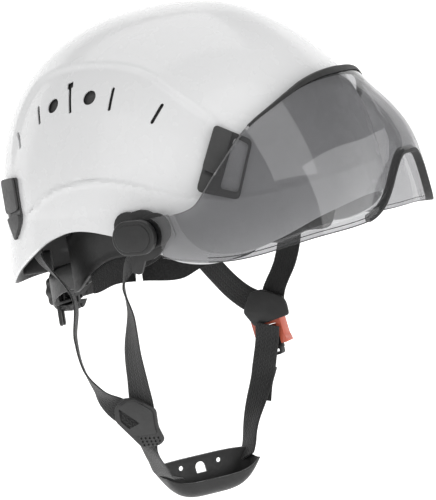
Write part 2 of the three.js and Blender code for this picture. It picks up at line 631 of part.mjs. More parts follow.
// Cover over the tails, open at both sides, with the dial on its back.
const COVER = { width: 42, top: 18, low: -16, from: 113.9, face: 120, wall: 2.5, channel: 10.5 };
{
  const block = (shape, from, to, segments = 4) => framed(
    new THREE.ExtrudeGeometry(shape, { depth: to - from, bevelEnabled: false, curveSegments: segments }),
    vector(0, from, RATCHET_Z), vector(-1, 0, 0), vector(0, 0, 1), vector(0, 1, 0));
  const half = COVER.width / 2;
  const outline = rounded([[-half + 12, COVER.low], [half - 12, COVER.low], [half - 4, -8], [half, COVER.top - 8],
    [half - 9, COVER.top], [-half + 9, COVER.top], [-half, COVER.top - 8], [-half + 4, -8]], 3);
  const channel = polygon([[-40, -COVER.channel], [40, -COVER.channel], [40, COVER.channel],
    [-40, COVER.channel]]);
  const hole = circle(0, 0, PINION_RADIUS + 1);
  const gaps = [-5, 0, 5].map((x) => block(
    polygon([[x - 1.2, COVER.low - 2], [x + 1.2, COVER.low - 2], [x + 1.2, -12.5], [x - 1.2, -12.5]]),
    COVER.from - 2, COVER.face + 6));
  add('ratchet_cover', cut(block(outline, COVER.from, COVER.face + COVER.wall),
    block(channel, COVER.from - 2, COVER.face), block(hole, COVER.face - 3, COVER.face + 6, 8), ...gaps),
  BLACK_PLASTIC(), napeGroup);

  // Dial with finger scallops, and the pinion between the two racks.
  const dial = new THREE.Shape();
  const lobes = 10;
  for (let k = 0; k <= lobes * 4; k++) {
    const t = (k / (lobes * 4)) * 2 * Math.PI;
    const r = 14.4 + 0.8 * Math.cos(lobes * t);
    if (k === 0) dial.moveTo(r * Math.cos(t), r * Math.sin(t));
    else dial.lineTo(r * Math.cos(t), r * Math.sin(t));
  }
  const dialFrom = COVER.face + COVER.wall + GAP + 0.2;
  const grip = block(dial, dialFrom, dialFrom + 8, 1);
  const dish = block(circle(0, 0, 8), dialFrom + 6, dialFrom + 9, 8);
  add('ratchet_dial', cut(grip, dish), GREY_PLASTIC(), napeGroup);
  add('ratchet_pinion', block(circle(0, 0, PINION_RADIUS), COVER.from + 0.4, dialFrom - GAP, 6),
    GREY_PLASTIC(), napeGroup);
}

// ---------------------------------------------------------------- chin strap
const strapGroup = assembly();
// Anchors inside the shell's rim, and where each upper strap starts below them.
const ANCHORS = {
  front: { angle: 81, z: -10 },
  rear: { angle: 127, z: -14 },
};
for (const [end, { angle, z }] of Object.entries(ANCHORS)) {
  const at = vector(...shellPoint(angle, z, -SHELL_WALL - 3.8));
  const out = shellNormal(shellPoint(angle, z));
  const block = new THREE.ExtrudeGeometry(rounded([[-12, -6], [12, -6], [9, 8], [-9, 8]], 3),
    { depth: 5, bevelEnabled: false, curveSegments: 3 });
  framed(block, at.clone().addScaledVector(out, -2.6), vector(0, 0, 1).cross(out), vector(0, 0, 1), out);
  addPair(`strap_anchor_${end}`, block, BLACK_PLASTIC, strapGroup);
}
const FACING_SIDE = [0, 1, 0];      // width front to back, the face looks sideways
const anchorFoot = (name, sign, drop) => {
  const { angle, z } = ANCHORS[name];
  const [x, y] = shellPoint(angle, z, -SHELL_WALL - 6);
  return [sign * x, y, z - drop];
};
const upper = (name, sign, turn) => [[anchorFoot(name, sign, 7.2), turn], [anchorFoot(name, sign, 13), turn]];
const addStrap = (name, stops, steps) =>
  add(`chin_strap_${name}`, ribbon(stops, WEBBING, WEBBING_THICK, steps), WEB_FABRIC(), strapGroup);
const EDGE_ON = [0.86, 0.51, 0];
addStrap('front_right', [...upper('front', -1, FACING_SIDE),
  [[-94, 2, -38], [0.6, 0.8, 0]], [[-92, 9, -50], EDGE_ON], [[-88, 9.5, -72], [0.7, 0.7, 0]],
  [[-80, 18, -100], [0.4, 0.9, 0]], [[-73, 22.5, -122], [0.2, 1, 0]], [[-69.8, 24.5, -136], FACING_SIDE],
  [[-69.4, 25, -146], FACING_SIDE]], 16);
addStrap('rear_right', [...upper('rear', -1, [0.6, 0.8, 0]),
  [[-84, 57, -58], EDGE_ON], [[-81, 63, -88], EDGE_ON],
  [[-79, 61.5, -110], [0.82, 0.6, 0]], [[-75, 54, -127], [0.6, 0.7, -0.3]],
  [[-67.5, 47, -140], [0, 0.8, -0.55]], [[-65, 38.5, -148], [0, 0.7, -0.7]], [[-65.5, 31, -155], [0, 0.7, -0.7]]], 18);
addStrap('front_left', [...upper('front', 1, FACING_SIDE),
  [[91, -25, -45], FACING_SIDE], [[84, -21, -66], FACING_SIDE], [[71.6, -14.5, -86], FACING_SIDE],
  [[70.2, -11.5, -101.5], FACING_SIDE]], 10);
addStrap('rear_left', [...upper('rear', 1, [-0.6, 0.8, 0]),
  [[90, 60, -50], [0, -0.5, 0.8]], [[86, 42, -68], [0, -0.6, 0.8]],
  [[78, 24, -82], [0, -0.6, 0.8]], [[74.5, 10, -91], [0, -0.55, 0.8]], [[73.2, -3.5, -96.5], [0, -0.5, 0.8]]], 12);

// Adjusters: a plate over both webbings, with a window; the right one ends in a knurled grip.
const PLATE_WALL = 3.2;
const RIGHT_OUTLINE = [[-15.5, 10], [-9, 17], [2, 17], [16.5, 8], [17, -4], [21, -13], [17, -17],
  [3, -18], [-15.5, 1]];
const LEFT_OUTLINE = [[10.7, 11.5], [1, 13.7], [-16, 7.6], [-18.8, 2.3], [-19.7, -6.9], [10.7, -14.5],
  [18.8, -3]];
const WINDOW = [[-11.5, 10], [4, -1], [-5, -4.5], [-11, 1]];
function adjuster(outline, window, centre, normal) {
  const out = vector(...normal).normalize();
  const level = vector(0, 0, 1).cross(out).normalize();
  const plate = (points, radius, from, depth) => new THREE.ExtrudeGeometry(rounded(points, radius),
    { depth, bevelEnabled: false, curveSegments: 2 }).translate(0, 0, from);
  const body = cut(plate(outline, 2.5, 0, PLATE_WALL), plate(window, 1, -2, PLATE_WALL + 4));
  return framed(body, vector(...centre), level, out.clone().cross(level), out);
}
const mirrorOutline = (points) => points.map(([x, y]) => [-x, y]).reverse();
add('strap_adjuster_right', adjuster(RIGHT_OUTLINE, WINDOW, [-74, 28, -149], [-1, -0.1, 0.1]),
  BLACK_PLASTIC(), strapGroup);
add('strap_adjuster_left', adjuster(LEFT_OUTLINE, mirrorOutline(WINDOW), [64.8, -8, -97], [1, 0, 0]),
  BLACK_PLASTIC(), strapGroup);

// Buckle: a framed socket, open below and on its inner side, its release button, and the plug.
const BUCKLE = { centre: [73.2, -6.5, -116], tilt: 9, width: 25, height: 22, thick: 9.4 };
const buckleAxes = () => {
  const turn = radians(BUCKLE.tilt);
  const right = vector(0, Math.cos(turn), -Math.sin(turn));
  return [vector(...BUCKLE.centre), right, vector(1, 0, 0).cross(right), vector(1, 0, 0)];
};
const buckleSlab = (points, radius, from, to) => framed(new THREE.ExtrudeGeometry(
  radius ? rounded(points, radius) : polygon(points),
  { depth: to - from, bevelEnabled: false, curveSegments: 3 }).translate(0, 0, from), ...buckleAxes());
{
  const w = BUCKLE.width / 2;
  const h = BUCKLE.height / 2;
  const t = BUCKLE.thick / 2;
  const box = (x0, x1, y0, y1) => [[x0, y0], [x1, y0], [x1, y1], [x0, y1]];
  const body = buckleSlab([[-w - 1.5, -h], [w + 1.5, -h], [w, -h + 6], [w, h], [-w, h], [-w, -h + 6]], 1.5, -t, t);
  const pocket = buckleSlab(box(-w + 2.4, w - 2.4, -h - 1, h - 4), 0, -t + 1.4, t - 1.4);
  const inside = buckleSlab(box(-w + 4.4, w - 4.4, -h - 1, h - 6), 0, -t - 1, 0);
  const thumb = buckleSlab(box(-6.3, 6.3, -6.3, 4.3), 0, 0, t + 1);
  add('buckle_socket', cut(body, pocket, inside, thumb), BUCKLE_RED(), strapGroup);
  add('buckle_button', buckleSlab(box(-5.9, 5.9, -5.9, 3.9), 1.5, t - 1.2, t + 0.6), BUCKLE_RED(), strapGroup);
  const tongue = buckleSlab(box(-8, 8, -h + 0.5, 0), 1.5, -t + 1.8, -t + 4.6);
  const bar = buckleSlab(box(-6.5, 11.5, -h - 8, -h - 0.6), 2.5, -t + 0.4, -t + 6);
  const neck = buckleSlab(box(-8, 8, -h - 3, -h + 3), 0, -t + 1.8, -t + 4.6);
  const eye = buckleSlab(box(-4.5, 9.2, -h - 6, -h - 3.6), 0, -t - 3, t + 3);
  add('buckle_plug', cut(join(tongue, neck, bar), eye), BLACK_PLASTIC(), strapGroup);
}

// Lower straps, the left one's free tail, and the chin cup between them.
addStrap('lower_left', [[[66, -6.5, -121], [0, 0.97, -0.24]], [[65.5, -2.5, -134], FACING_SIDE],
  [[66, 3, -150], FACING_SIDE], [[60, 8, -167], [0.15, 1, 0]], [[49, 8.5, -181], [0.4, 0.9, -0.1]],
  [[39, 7, -193], [0.6, 0.8, 0]]], 14);
addStrap('tail_left', [[[72.5, 1.5, -141], FACING_SIDE], [[71.5, 7, -154], FACING_SIDE],
  [[69, 9.5, -168], FACING_SIDE]], 5);
addStrap('lower_right', [[[-66, 25, -171], [0.45, 0.9, 0]], [[-53, 30, -185], [0.45, 0.9, 0]],
  [[-38, 35.5, -197], [0.45, 0.9, 0]], [[-24, 37.5, -202.5], [0.45, 0.9, 0]]], 8);
const CUP = {
  centre: [-1, 22], turn: 38, reach: 37, width: 17, wall: 2, near: -207, far: -195, deep: 19,
  endNear: -200, endFar: -196, endDeep: 4,
};
function cupPoint(u, phi, inset) {
  const s = 2 * u - 1;
  const bow = s ** 4;
  const turn = radians(CUP.turn);
  const blend = (middle, end) => middle + (end - middle) * bow;
  const near = blend(CUP.near, CUP.endNear);
  const far = blend(CUP.far, CUP.endFar);
  const half = CUP.width * (1 - 0.2 * bow) - inset;
  const deep = blend(CUP.deep, CUP.endDeep) - inset;
  const across = -half * Math.cos(phi * Math.PI);
  const along = CUP.reach * s;
  return [CUP.centre[0] + along * Math.cos(turn) + across * Math.sin(turn),
    CUP.centre[1] - along * Math.sin(turn) + across * Math.cos(turn),
    near + (far - near) * phi - deep * Math.sin(phi * Math.PI)];
}
{
  const cup = walled((u, v) => cupPoint(u, v, 0), (u, v) => cupPoint(u, v, CUP.wall), 20, 8);
  const turn = radians(CUP.turn);
  const through = (outline, along, z) => framed(
    new THREE.ExtrudeGeometry(outline, { depth: 12, bevelEnabled: false, curveSegments: 4 }),
    vector(CUP.centre[0] + along * Math.cos(turn) + 5 * Math.sin(turn),
      CUP.centre[1] - along * Math.sin(turn) + 5 * Math.cos(turn), z),
    vector(-Math.cos(turn), Math.sin(turn), 0), vector(0, 0, 1), vector(Math.sin(turn), Math.cos(turn), 0));
  const arch = new THREE.Shape();
  arch.moveTo(-4, -4).lineTo(4, -4).absarc(0, 0, 4, 0, Math.PI);
  const holes = [through(arch, 0, -203.5), through(circle(0, 0, 1.8), 15, -201.5),
    through(circle(0, 0, 1.8), -15, -201.5)];
  add('chin_cup', cut(cup, ...holes), BLACK_PLASTIC(), strapGroup);
}

export default helmet;
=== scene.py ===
"""Looks for the climbing-style hard hat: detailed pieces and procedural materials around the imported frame."""
import json
import math

import bmesh
import bpy
import numpy as np
from mathutils import Matrix, Vector

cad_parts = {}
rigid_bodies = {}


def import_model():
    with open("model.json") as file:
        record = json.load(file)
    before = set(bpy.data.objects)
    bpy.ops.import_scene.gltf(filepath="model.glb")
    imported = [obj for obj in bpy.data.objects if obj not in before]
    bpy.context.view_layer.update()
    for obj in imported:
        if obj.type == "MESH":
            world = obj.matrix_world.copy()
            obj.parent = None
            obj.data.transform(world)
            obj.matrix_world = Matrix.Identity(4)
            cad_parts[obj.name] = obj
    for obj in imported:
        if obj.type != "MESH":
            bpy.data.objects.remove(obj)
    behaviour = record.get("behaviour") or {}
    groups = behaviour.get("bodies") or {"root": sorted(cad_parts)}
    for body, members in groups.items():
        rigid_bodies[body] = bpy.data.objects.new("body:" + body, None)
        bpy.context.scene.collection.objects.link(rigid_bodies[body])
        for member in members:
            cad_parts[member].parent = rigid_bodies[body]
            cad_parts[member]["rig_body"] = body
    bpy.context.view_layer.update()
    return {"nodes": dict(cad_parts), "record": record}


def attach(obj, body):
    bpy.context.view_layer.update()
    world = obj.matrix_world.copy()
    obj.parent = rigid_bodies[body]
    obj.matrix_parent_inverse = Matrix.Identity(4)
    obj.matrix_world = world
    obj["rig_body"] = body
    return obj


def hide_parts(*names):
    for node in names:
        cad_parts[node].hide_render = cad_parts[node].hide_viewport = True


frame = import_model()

MM = 0.001

# ---------------------------------------------------------------- driving dimensions, mm
SHELL_HALF_LENGTH, SHELL_HALF_WIDTH, CROWN_HEIGHT = 140, 108, 134
DOME_POWER, DOME_REAR, PLAN_POWER = 2.08, 0.2, 0.93
SHELL_WALL, FLARE, FLARE_DEPTH = 3, 0.03, 45
PIVOT_Y, PIVOT_Z = -25, -16
VISOR_HALF_WIDTH, VISOR_CENTRE_Y, VISOR_DEPTH, VISOR_POWER = 119, -30, 142, 0.92
VISOR_STANDOFF, LENS_WALL, SLIDE_ANGLE, SPINDLE_RADIUS = 6, 2.4, 15, 4
BAND_HALF_WIDTH, BAND_HALF_LENGTH = 83, 112
RATCHET_Z = -62
WEBBING, WEBBING_THICK = 19, 1.5


# ---------------------------------------------------------------- curves and surfaces
def signed_power(value, power):
    return np.sign(value) * np.abs(value) ** power


def smooth(value):
    value = np.clip(value, 0, 1)
    return value * value * (3 - 2 * value)


def follow(knots, position):
    """A smooth curve through (position, value) knots, flat at both ends."""
    x = np.array([k[0] for k in knots], float)
    y = np.array([k[1] for k in knots], float)
    slope = np.zeros(len(x))
    slope[1:-1] = (y[2:] - y[:-2]) / (x[2:] - x[:-2])
    p = np.clip(np.asarray(position, float), x[0], x[-1])
    i = np.clip(np.searchsorted(x, p, side="right") - 1, 0, len(x) - 2)
    span = x[i + 1] - x[i]
    s = (p - x[i]) / span
    rise = y[i + 1] - y[i]
    bend = s * (1 - s)
    return y[i] + rise * (s * s * (3 - 2 * s)) + span * bend * (slope[i] * (1 - s) - slope[i + 1] * s)


def catmull(points, t):
    """Centripetal Catmull-Rom curve at t in 0..1."""
    p = np.array(points, float)
    last = len(p) - 1
    at = min(max(t, 0.0), 1.0) * last
    i = min(int(at), last - 1)
    w = at - i
    p1, p2 = p[i], p[i + 1]
    p0 = p[i - 1] if i > 0 else 2 * p[0] - p[1]
    p3 = p[i + 2] if i + 2 <= last else 2 * p[last] - p[last - 1]
    dt = [np.linalg.norm(b - a) ** 0.5 for a, b in ((p0, p1), (p1, p2), (p2, p3))]
    if dt[1] < 1e-4:
        dt[1] = 1.0
    dt[0] = dt[0] if dt[0] > 1e-4 else dt[1]
    dt[2] = dt[2] if dt[2] > 1e-4 else dt[1]
    m1 = ((p1 - p0) / dt[0] - (p2 - p0) / (dt[0] + dt[1]) + (p2 - p1) / dt[1]) * dt[1]
    m2 = ((p2 - p1) / dt[1] - (p3 - p1) / (dt[1] + dt[2]) + (p3 - p2) / dt[2]) * dt[1]
    return (p1 + m1 * w + (-3 * p1 + 3 * p2 - 2 * m1 - m2) * w * w
            + (2 * p1 - 2 * p2 + m1 + m2) * w ** 3)


def floats(*values):
    """The values as float arrays of one shape."""
    return np.broadcast_arrays(*(np.asarray(v, float) for v in values))


def grid(columns, rows):
    """Shares 0..1 along and across a surface."""
    return np.meshgrid(np.arange(columns + 1) / columns, np.arange(rows + 1) / rows, indexing="ij")


def unit(v):
    v = np.asarray(v, float)
    return v / np.linalg.norm(v)


EDGE = [(0, -14), (25, -20), (45, -32), (62, -40), (72, -37), (80, -27), (91, -14), (101, -9.5), (112, -14.5),
        (122, -24), (132, -33.5), (145, -45), (160, -49), (180, -49)]


def shell_point(angle, z, grow=0.0):
    """Point of the shell grown outwards by grow, at a plan angle (0 at the front) and a height."""
    angle, z, grow = floats(angle, z, grow)
    t = np.radians(angle)
    top = CROWN_HEIGHT + grow
    away = np.abs((angle + 180) % 360 - 180)
    rearness = smooth((away - 50) / 90)
    power = DOME_POWER + DOME_REAR * rearness
    dome = np.maximum(0, 1 - np.clip(z / top, 0, 1) ** power) ** (1 / power)
    skirt = 1 + FLARE * rearness * np.minimum(1, -z / FLARE_DEPTH)
    spread = np.where(z > 0, dome, skirt)
    x = (SHELL_HALF_WIDTH + grow) * signed_power(np.sin(t), PLAN_POWER) * spread
    y = -(SHELL_HALF_LENGTH + grow) * signed_power(np.cos(t), PLAN_POWER) * spread
    return np.stack([x, y, z], -1)


def edge_height(angle):
    return follow(EDGE, np.abs((np.asarray(angle, float) + 180) % 360 - 180))


def shell_normal(p):
    power = 2 / PLAN_POWER
    nx = signed_power(p[0] / SHELL_HALF_WIDTH, power - 1) / SHELL_HALF_WIDTH
    ny = signed_power(p[1] / SHELL_HALF_LENGTH, power - 1) / SHELL_HALF_LENGTH
    nz = (p[2] / CROWN_HEIGHT) ** (DOME_POWER - 1) / CROWN_HEIGHT if p[2] > 0 else 0
    return unit([nx, ny, nz])


def shell_frame(angle, z, lean=0.0):
    """Centre, right, up and out on the +X side of the shell."""
    centre = shell_point(angle, z)
    out = shell_normal(centre)
    up = np.array([-out[2] * np.sign(out[0]), 0, abs(out[0])]) + np.array([0, -lean, 0])
    up = unit(up - out * up.dot(out))
    return centre, unit(np.cross(up, out)), up, out


# ---------------------------------------------------------------- meshes
def add_object(name, data):
    obj = bpy.data.objects.new(name, data)
    bpy.context.scene.collection.objects.link(obj)
    return obj


def new_object(name, verts_mm, faces, look, sharp=35.0, uv=None):
    """Piece from vertices in millimetres; look is a (material, slot) pair whose material it takes, uv one pair
    for each vertex.
    """
    mesh = bpy.data.meshes.new(name)
    mesh.from_pydata([tuple(v) for v in np.asarray(verts_mm, float) * MM], [], [tuple(f) for f in faces])
    if uv is not None:
        layer = mesh.uv_layers.new(name="UVMap")
        for loop in mesh.loops:
            layer.data[loop.index].uv = uv[loop.vertex_index]
    mesh.validate()
    obj = add_object(name, mesh)
    bm = bmesh.new()
    bm.from_mesh(mesh)
    bmesh.ops.remove_doubles(bm, verts=bm.verts, dist=1e-6)
    bmesh.ops.recalc_face_normals(bm, faces=bm.faces)
    bm.to_mesh(mesh)
    bm.free()
    shade(obj, sharp)
    dress(obj, look)
    return obj


def dress(obj, look):
    """Gives a piece the material of its (material, slot) pair."""
    material, slot_name = look
    obj.data.materials.append(material)


def shade(obj, sharp=35.0):
    obj.data.shade_smooth()
    obj.data.set_sharp_from_angle(angle=math.radians(sharp))


def walled(outer, inner, columns, rows, ring=False):
    """Vertices and faces of a solid between two (u, v) surfaces given as arrays [i, j, 3]."""
    count = columns if ring else columns + 1
    verts = np.concatenate([outer[:count].reshape(-1, 3), inner[:count].reshape(-1, 3)])
    at = lambda layer, i, j: (layer * count + (i % count)) * (rows + 1) + j
    faces = []
    for i in range(columns):
        for j in range(rows):
            faces.append((at(0, i, j), at(0, i + 1, j), at(0, i + 1, j + 1), at(0, i, j + 1)))
            faces.append((at(1, i, j), at(1, i, j + 1), at(1, i + 1, j + 1), at(1, i + 1, j)))
        faces.append((at(0, i, 0), at(1, i, 0), at(1, i + 1, 0), at(0, i + 1, 0)))
        faces.append((at(0, i, rows), at(0, i + 1, rows), at(1, i + 1, rows), at(1, i, rows)))
    if not ring:
        for j in range(rows):
            faces.append((at(0, 0, j), at(0, 0, j + 1), at(1, 0, j + 1), at(1, 0, j)))
            faces.append((at(0, columns, j), at(1, columns, j), at(1, columns, j + 1), at(0, columns, j + 1)))
    return verts, faces


def sweep_faces(n, columns):
    """Faces of a closed section of n points swept through columns steps, capped at both ends."""
    faces = [(i * n + k, i * n + (k + 1) % n, (i + 1) * n + (k + 1) % n, (i + 1) * n + k)
             for i in range(columns) for k in range(n)]
    return faces + [tuple(range(n)), tuple(range(columns * n, columns * n + n))]


def apply_modifiers(obj):
    bpy.context.view_layer.update()
    done = obj.evaluated_get(bpy.context.evaluated_depsgraph_get())
    mesh = bpy.data.meshes.new_from_object(done)
    obj.modifiers.clear()
    old = obj.data
    obj.data = mesh
    bpy.data.meshes.remove(old)
    return obj


def bevel(obj, width, segments=2, angle=30.0, sharp=40.0):
    """Rounds the hard edges of a piece."""
    m = obj.modifiers.new("round", "BEVEL")
    m.width = width * MM
    m.segments = segments
    m.limit_method = "ANGLE"
    m.angle_limit = math.radians(angle)
    m.use_clamp_overlap = True
    m.miter_outer = "MITER_ARC"
    apply_modifiers(obj)
    shade(obj, sharp)
    return obj


def boolean(obj, tools, operation="DIFFERENCE"):
    for tool in tools:
        m = obj.modifiers.new("cut", "BOOLEAN")
        m.operation = operation
        m.solver = "EXACT"
        m.object = tool
        apply_modifiers(obj)
        bpy.data.objects.remove(tool)
    return obj


def flip(obj):
    """Moves a piece to its mirror place on the other side of the helmet."""
    obj.data.transform(Matrix.Diagonal((-1, 1, 1, 1)))
    obj.data.flip_normals()


def mirror_copy(obj, name):
    """The same piece on the other side of the helmet."""
    copy = obj.copy()
    copy.data = obj.data.copy()
    copy.name = name
    copy.data.name = name
    bpy.context.scene.collection.objects.link(copy)
    flip(copy)
    return copy


def rounded(points, radius, steps=4):
    """Outline with its corners rounded by quadratic curves."""
    p = [np.array(q, float) for q in points]
    out = []
    for i, corner in enumerate(p):
        a = corner + unit(p[i - 1] - corner) * radius
        b = corner + unit(p[(i + 1) % len(p)] - corner) * radius
        for k in range(steps + 1):
            s = k / steps
            out.append((1 - s) ** 2 * a + 2 * s * (1 - s) * corner + s * s * b)
    return out


def circle(x, y, radius, steps=32):
    return [(x + radius * math.cos(2 * math.pi * k / steps), y + radius * math.sin(2 * math.pi * k / steps))
            for k in range(steps)]


def stadium(length, height, angle=0.0, x=0.0, y=0.0, steps=16):
    reach = (length - height) / 2
    turn = math.radians(angle)
    out = []
    for side in (1, -1):
        for k in range(steps + 1):
            a = turn + (math.pi / 2 if side < 0 else -math.pi / 2) + math.pi * k / steps
            out.append((x + side * reach * math.cos(turn) + height / 2 * math.cos(a),
                        y + side * reach * math.sin(turn) + height / 2 * math.sin(a)))
    return out


SIDE_AXES = (np.zeros(3), np.array([0, 1.0, 0]), np.array([0, 0, 1.0]), np.array([1.0, 0, 0]))


def plate(name, outline, low, high, axes, look, round_by=0.5, segments=2):
    """Flat piece drawn in (right, up) and thick along out, with its edges rounded."""
    centre, right, up, out = axes
    flat = [np.asarray(q, float) for q in outline]
    verts = [centre + right * q[0] + up * q[1] + out * h for h in (low, high) for q in flat]
    n = len(flat)
    faces = [tuple(range(n)), tuple(range(n, 2 * n))]
    faces += [(i, (i + 1) % n, n + (i + 1) % n, n + i) for i in range(n)]
    obj = new_object(name, verts, faces, look)
    if round_by:
        bevel(obj, round_by, segments, angle=50.0)
    return obj


def refine(node, look, width=0.4, segments=2):
    """A CAD node's shape with welded faces and rounded edges, standing for that node."""
    source = frame["nodes"][node]
    mesh = source.data.copy()
    mesh.materials.clear()
    obj = add_object(f"{node}_piece", mesh)
    bm = bmesh.new()
    bm.from_mesh(mesh)
    bmesh.ops.remove_doubles(bm, verts=bm.verts, dist=2e-6)
    bmesh.ops.dissolve_limit(bm, angle_limit=math.radians(1.5), verts=bm.verts, edges=bm.edges)
    bm.to_mesh(mesh)
    bm.free()
    bevel(obj, width, segments, 34.0)
    dress(obj, look)
    put(obj, source["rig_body"], node)


def put(obj, body, *nodes):
    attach(obj, body)
    if nodes:
        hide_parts(*nodes)
    return obj


# ---------------------------------------------------------------- materials
class Nodes:
    """Short way to write a node tree around one Principled shader."""

    def __init__(self, name):
        self.material = bpy.data.materials.new(name)
        self.material.use_nodes = True
        self.tree = self.material.node_tree
        self.shader = self.tree.nodes["Principled BSDF"]
        self.output = self.tree.nodes["Material Output"]

    def set(self, **values):
        for key, value in values.items():
            self.shader.inputs[key.replace("_", " ")].default_value = value
        return self

    def node(self, kind, **values):
        made = self.tree.nodes.new(kind)
        for key, value in values.items():
            if hasattr(made, key) and key not in made.inputs:
                setattr(made, key, value)
            else:
                made.inputs[key.replace("_", " ")].default_value = value
        return made

    def link(self, a, b):
        self.tree.links.new(a, b)

    def coords(self, kind="Object"):
        return self.node("ShaderNodeTexCoord").outputs[kind]

    def noise(self, scale, detail=3.0, rough=0.5):
        made = self.node("ShaderNodeTexNoise", Scale=scale, Detail=detail, Roughness=rough)
        self.link(self.coords(), made.inputs["Vector"])
        return made.outputs["Fac"]

    def span(self, value, low, high):
        """Spreads a noise's middle range, 0.3 to 0.7, over low to high."""
        made = self.node("ShaderNodeMapRange")
        self.link(value, made.inputs["Value"])
        for key, number in (("From Min", 0.3), ("From Max", 0.7), ("To Min", low), ("To Max", high)):
            made.inputs[key].default_value = number
        return made.outputs["Result"]

    def math(self, operation, a, b=None, clamp=False):
        made = self.node("ShaderNodeMath")
        made.operation = operation
        made.use_clamp = clamp
        for socket, value in zip(made.inputs, (a, b)):
            if value is None:
                continue
            if isinstance(value, (int, float)):
                socket.default_value = value
            else:
                self.link(value, socket)
        return made.outputs["Value"]

    def colour(self, factor, *stops):
        made = self.node("ShaderNodeValToRGB")
        ramp = made.color_ramp.elements
        while len(ramp) < len(stops):
            ramp.new(0.5)
        for element, (position, value) in zip(ramp, stops):
            element.position = position
            element.color = (*value, 1)
        self.link(factor, made.inputs["Fac"])
        self.link(made.outputs["Color"], self.shader.inputs["Base Color"])

    def bump(self, height, distance, strength=1.0):
        made = self.node("ShaderNodeBump")
        made.inputs["Distance"].default_value = distance
        made.inputs["Strength"].default_value = strength
        self.link(height, made.inputs["Height"])
        self.link(made.outputs["Normal"], self.shader.inputs["Normal"])
        return self


def grey(value):
    return (value, value, value)


def make_shell_white():
    """Glossy white outside, with painted shade inside the rear: a near-black colour there, told apart by the
    mesh's second texture coordinate.
    """
    m = Nodes("shell_white")
    m.set(Coat_Weight=0.3, Coat_Roughness=0.06, Specular_IOR_Level=0.5)
    split = m.node("ShaderNodeSeparateXYZ")
    m.link(m.coords("UV"), split.inputs[0])
    # Painted shade: the mask picks the inside of the rear, which is coloured near black for the deep shade
    # there.
    rear_inside_shade = m.math("GREATER_THAN", split.outputs[1], 1.5)
    cloud = m.math("MULTIPLY", m.noise(14, 4), 0.4)
    tone = m.math("ADD", cloud, m.math("MULTIPLY", rear_inside_shade, 0.6))
    m.colour(tone, (0.1, (0.765, 0.768, 0.772)), (0.35, (0.785, 0.788, 0.79)),
             (0.6, grey(0.022)), (0.9, grey(0.034)))
    polish = m.math("ADD", m.span(m.noise(60, 5), 0.24, 0.3), m.math("MULTIPLY", rear_inside_shade, 0.4))
    m.link(polish, m.shader.inputs["Roughness"])
    return m.bump(m.noise(350, 3), 0.00003, 0.3).material


def make_plastic(name, dark, light, roughness, grain=0.00010):
    m = Nodes(name)
    m.set(Specular_IOR_Level=0.45)
    m.colour(m.noise(90, 6, 0.6), (0.3, grey(dark)), (0.75, grey(light)))
    m.link(m.span(m.noise(500, 4), roughness - 0.07, roughness + 0.08), m.shader.inputs["Roughness"])
    m.bump(m.noise(1600, 4, 0.7), grain, 0.6)
    return m.material


def make_webbing():
    """Woven webbing: chevron ribs along its length, read from the strap's own millimetre coordinates."""
    m = Nodes("webbing")
    m.set(Sheen_Weight=0.25, Sheen_Roughness=0.5, Specular_IOR_Level=0.25)
    split = m.node("ShaderNodeSeparateXYZ")
    m.link(m.coords("UV"), split.inputs[0])
    across, along = split.outputs[0], split.outputs[1]
    columns = 9.0
    fold = m.math("PINGPONG", m.math("MULTIPLY", across, columns), 1.0)
    yarn = m.math("ADD", m.math("MULTIPLY", along, 900.0), m.math("MULTIPLY", fold, 3.2))
    picks = m.math("ABSOLUTE", m.math("SINE", yarn))
    ribs = m.math("ABSOLUTE", m.math("SINE", m.math("MULTIPLY", across, columns * math.pi)))
    weave = m.math("MULTIPLY", m.math("POWER", picks, 0.6), m.math("POWER", ribs, 0.35))
    fuzz = m.noise(2500, 2)
    tone = m.math("ADD", m.math("MULTIPLY", weave, 0.8), m.math("MULTIPLY", fuzz, 0.25))
    m.colour(tone, (0.05, grey(0.013)), (0.9, grey(0.036)))
    m.link(m.span(fuzz, 0.68, 0.9), m.shader.inputs["Roughness"])
    return m.bump(weave, 0.00035, 0.8).material


def make_cloth():
    """Knitted cover of the foam pads."""
    m = Nodes("foam_cloth")
    m.set(Sheen_Weight=0.35, Sheen_Roughness=0.45, Specular_IOR_Level=0.2)
    cell = m.node("ShaderNodeTexVoronoi", Scale=900.0)
    m.link(m.coords(), cell.inputs["Vector"])
    knit = m.math("MULTIPLY", cell.outputs["Distance"], 0.7)
    tone = m.math("ADD", knit, m.math("MULTIPLY", m.noise(60, 4), 0.5))
    m.colour(tone, (0.2, grey(0.010)), (0.9, grey(0.026)))
    m.link(m.span(m.noise(300), 0.8, 0.97), m.shader.inputs["Roughness"])
    return m.bump(cell.outputs["Distance"], 0.0004, 0.7).material


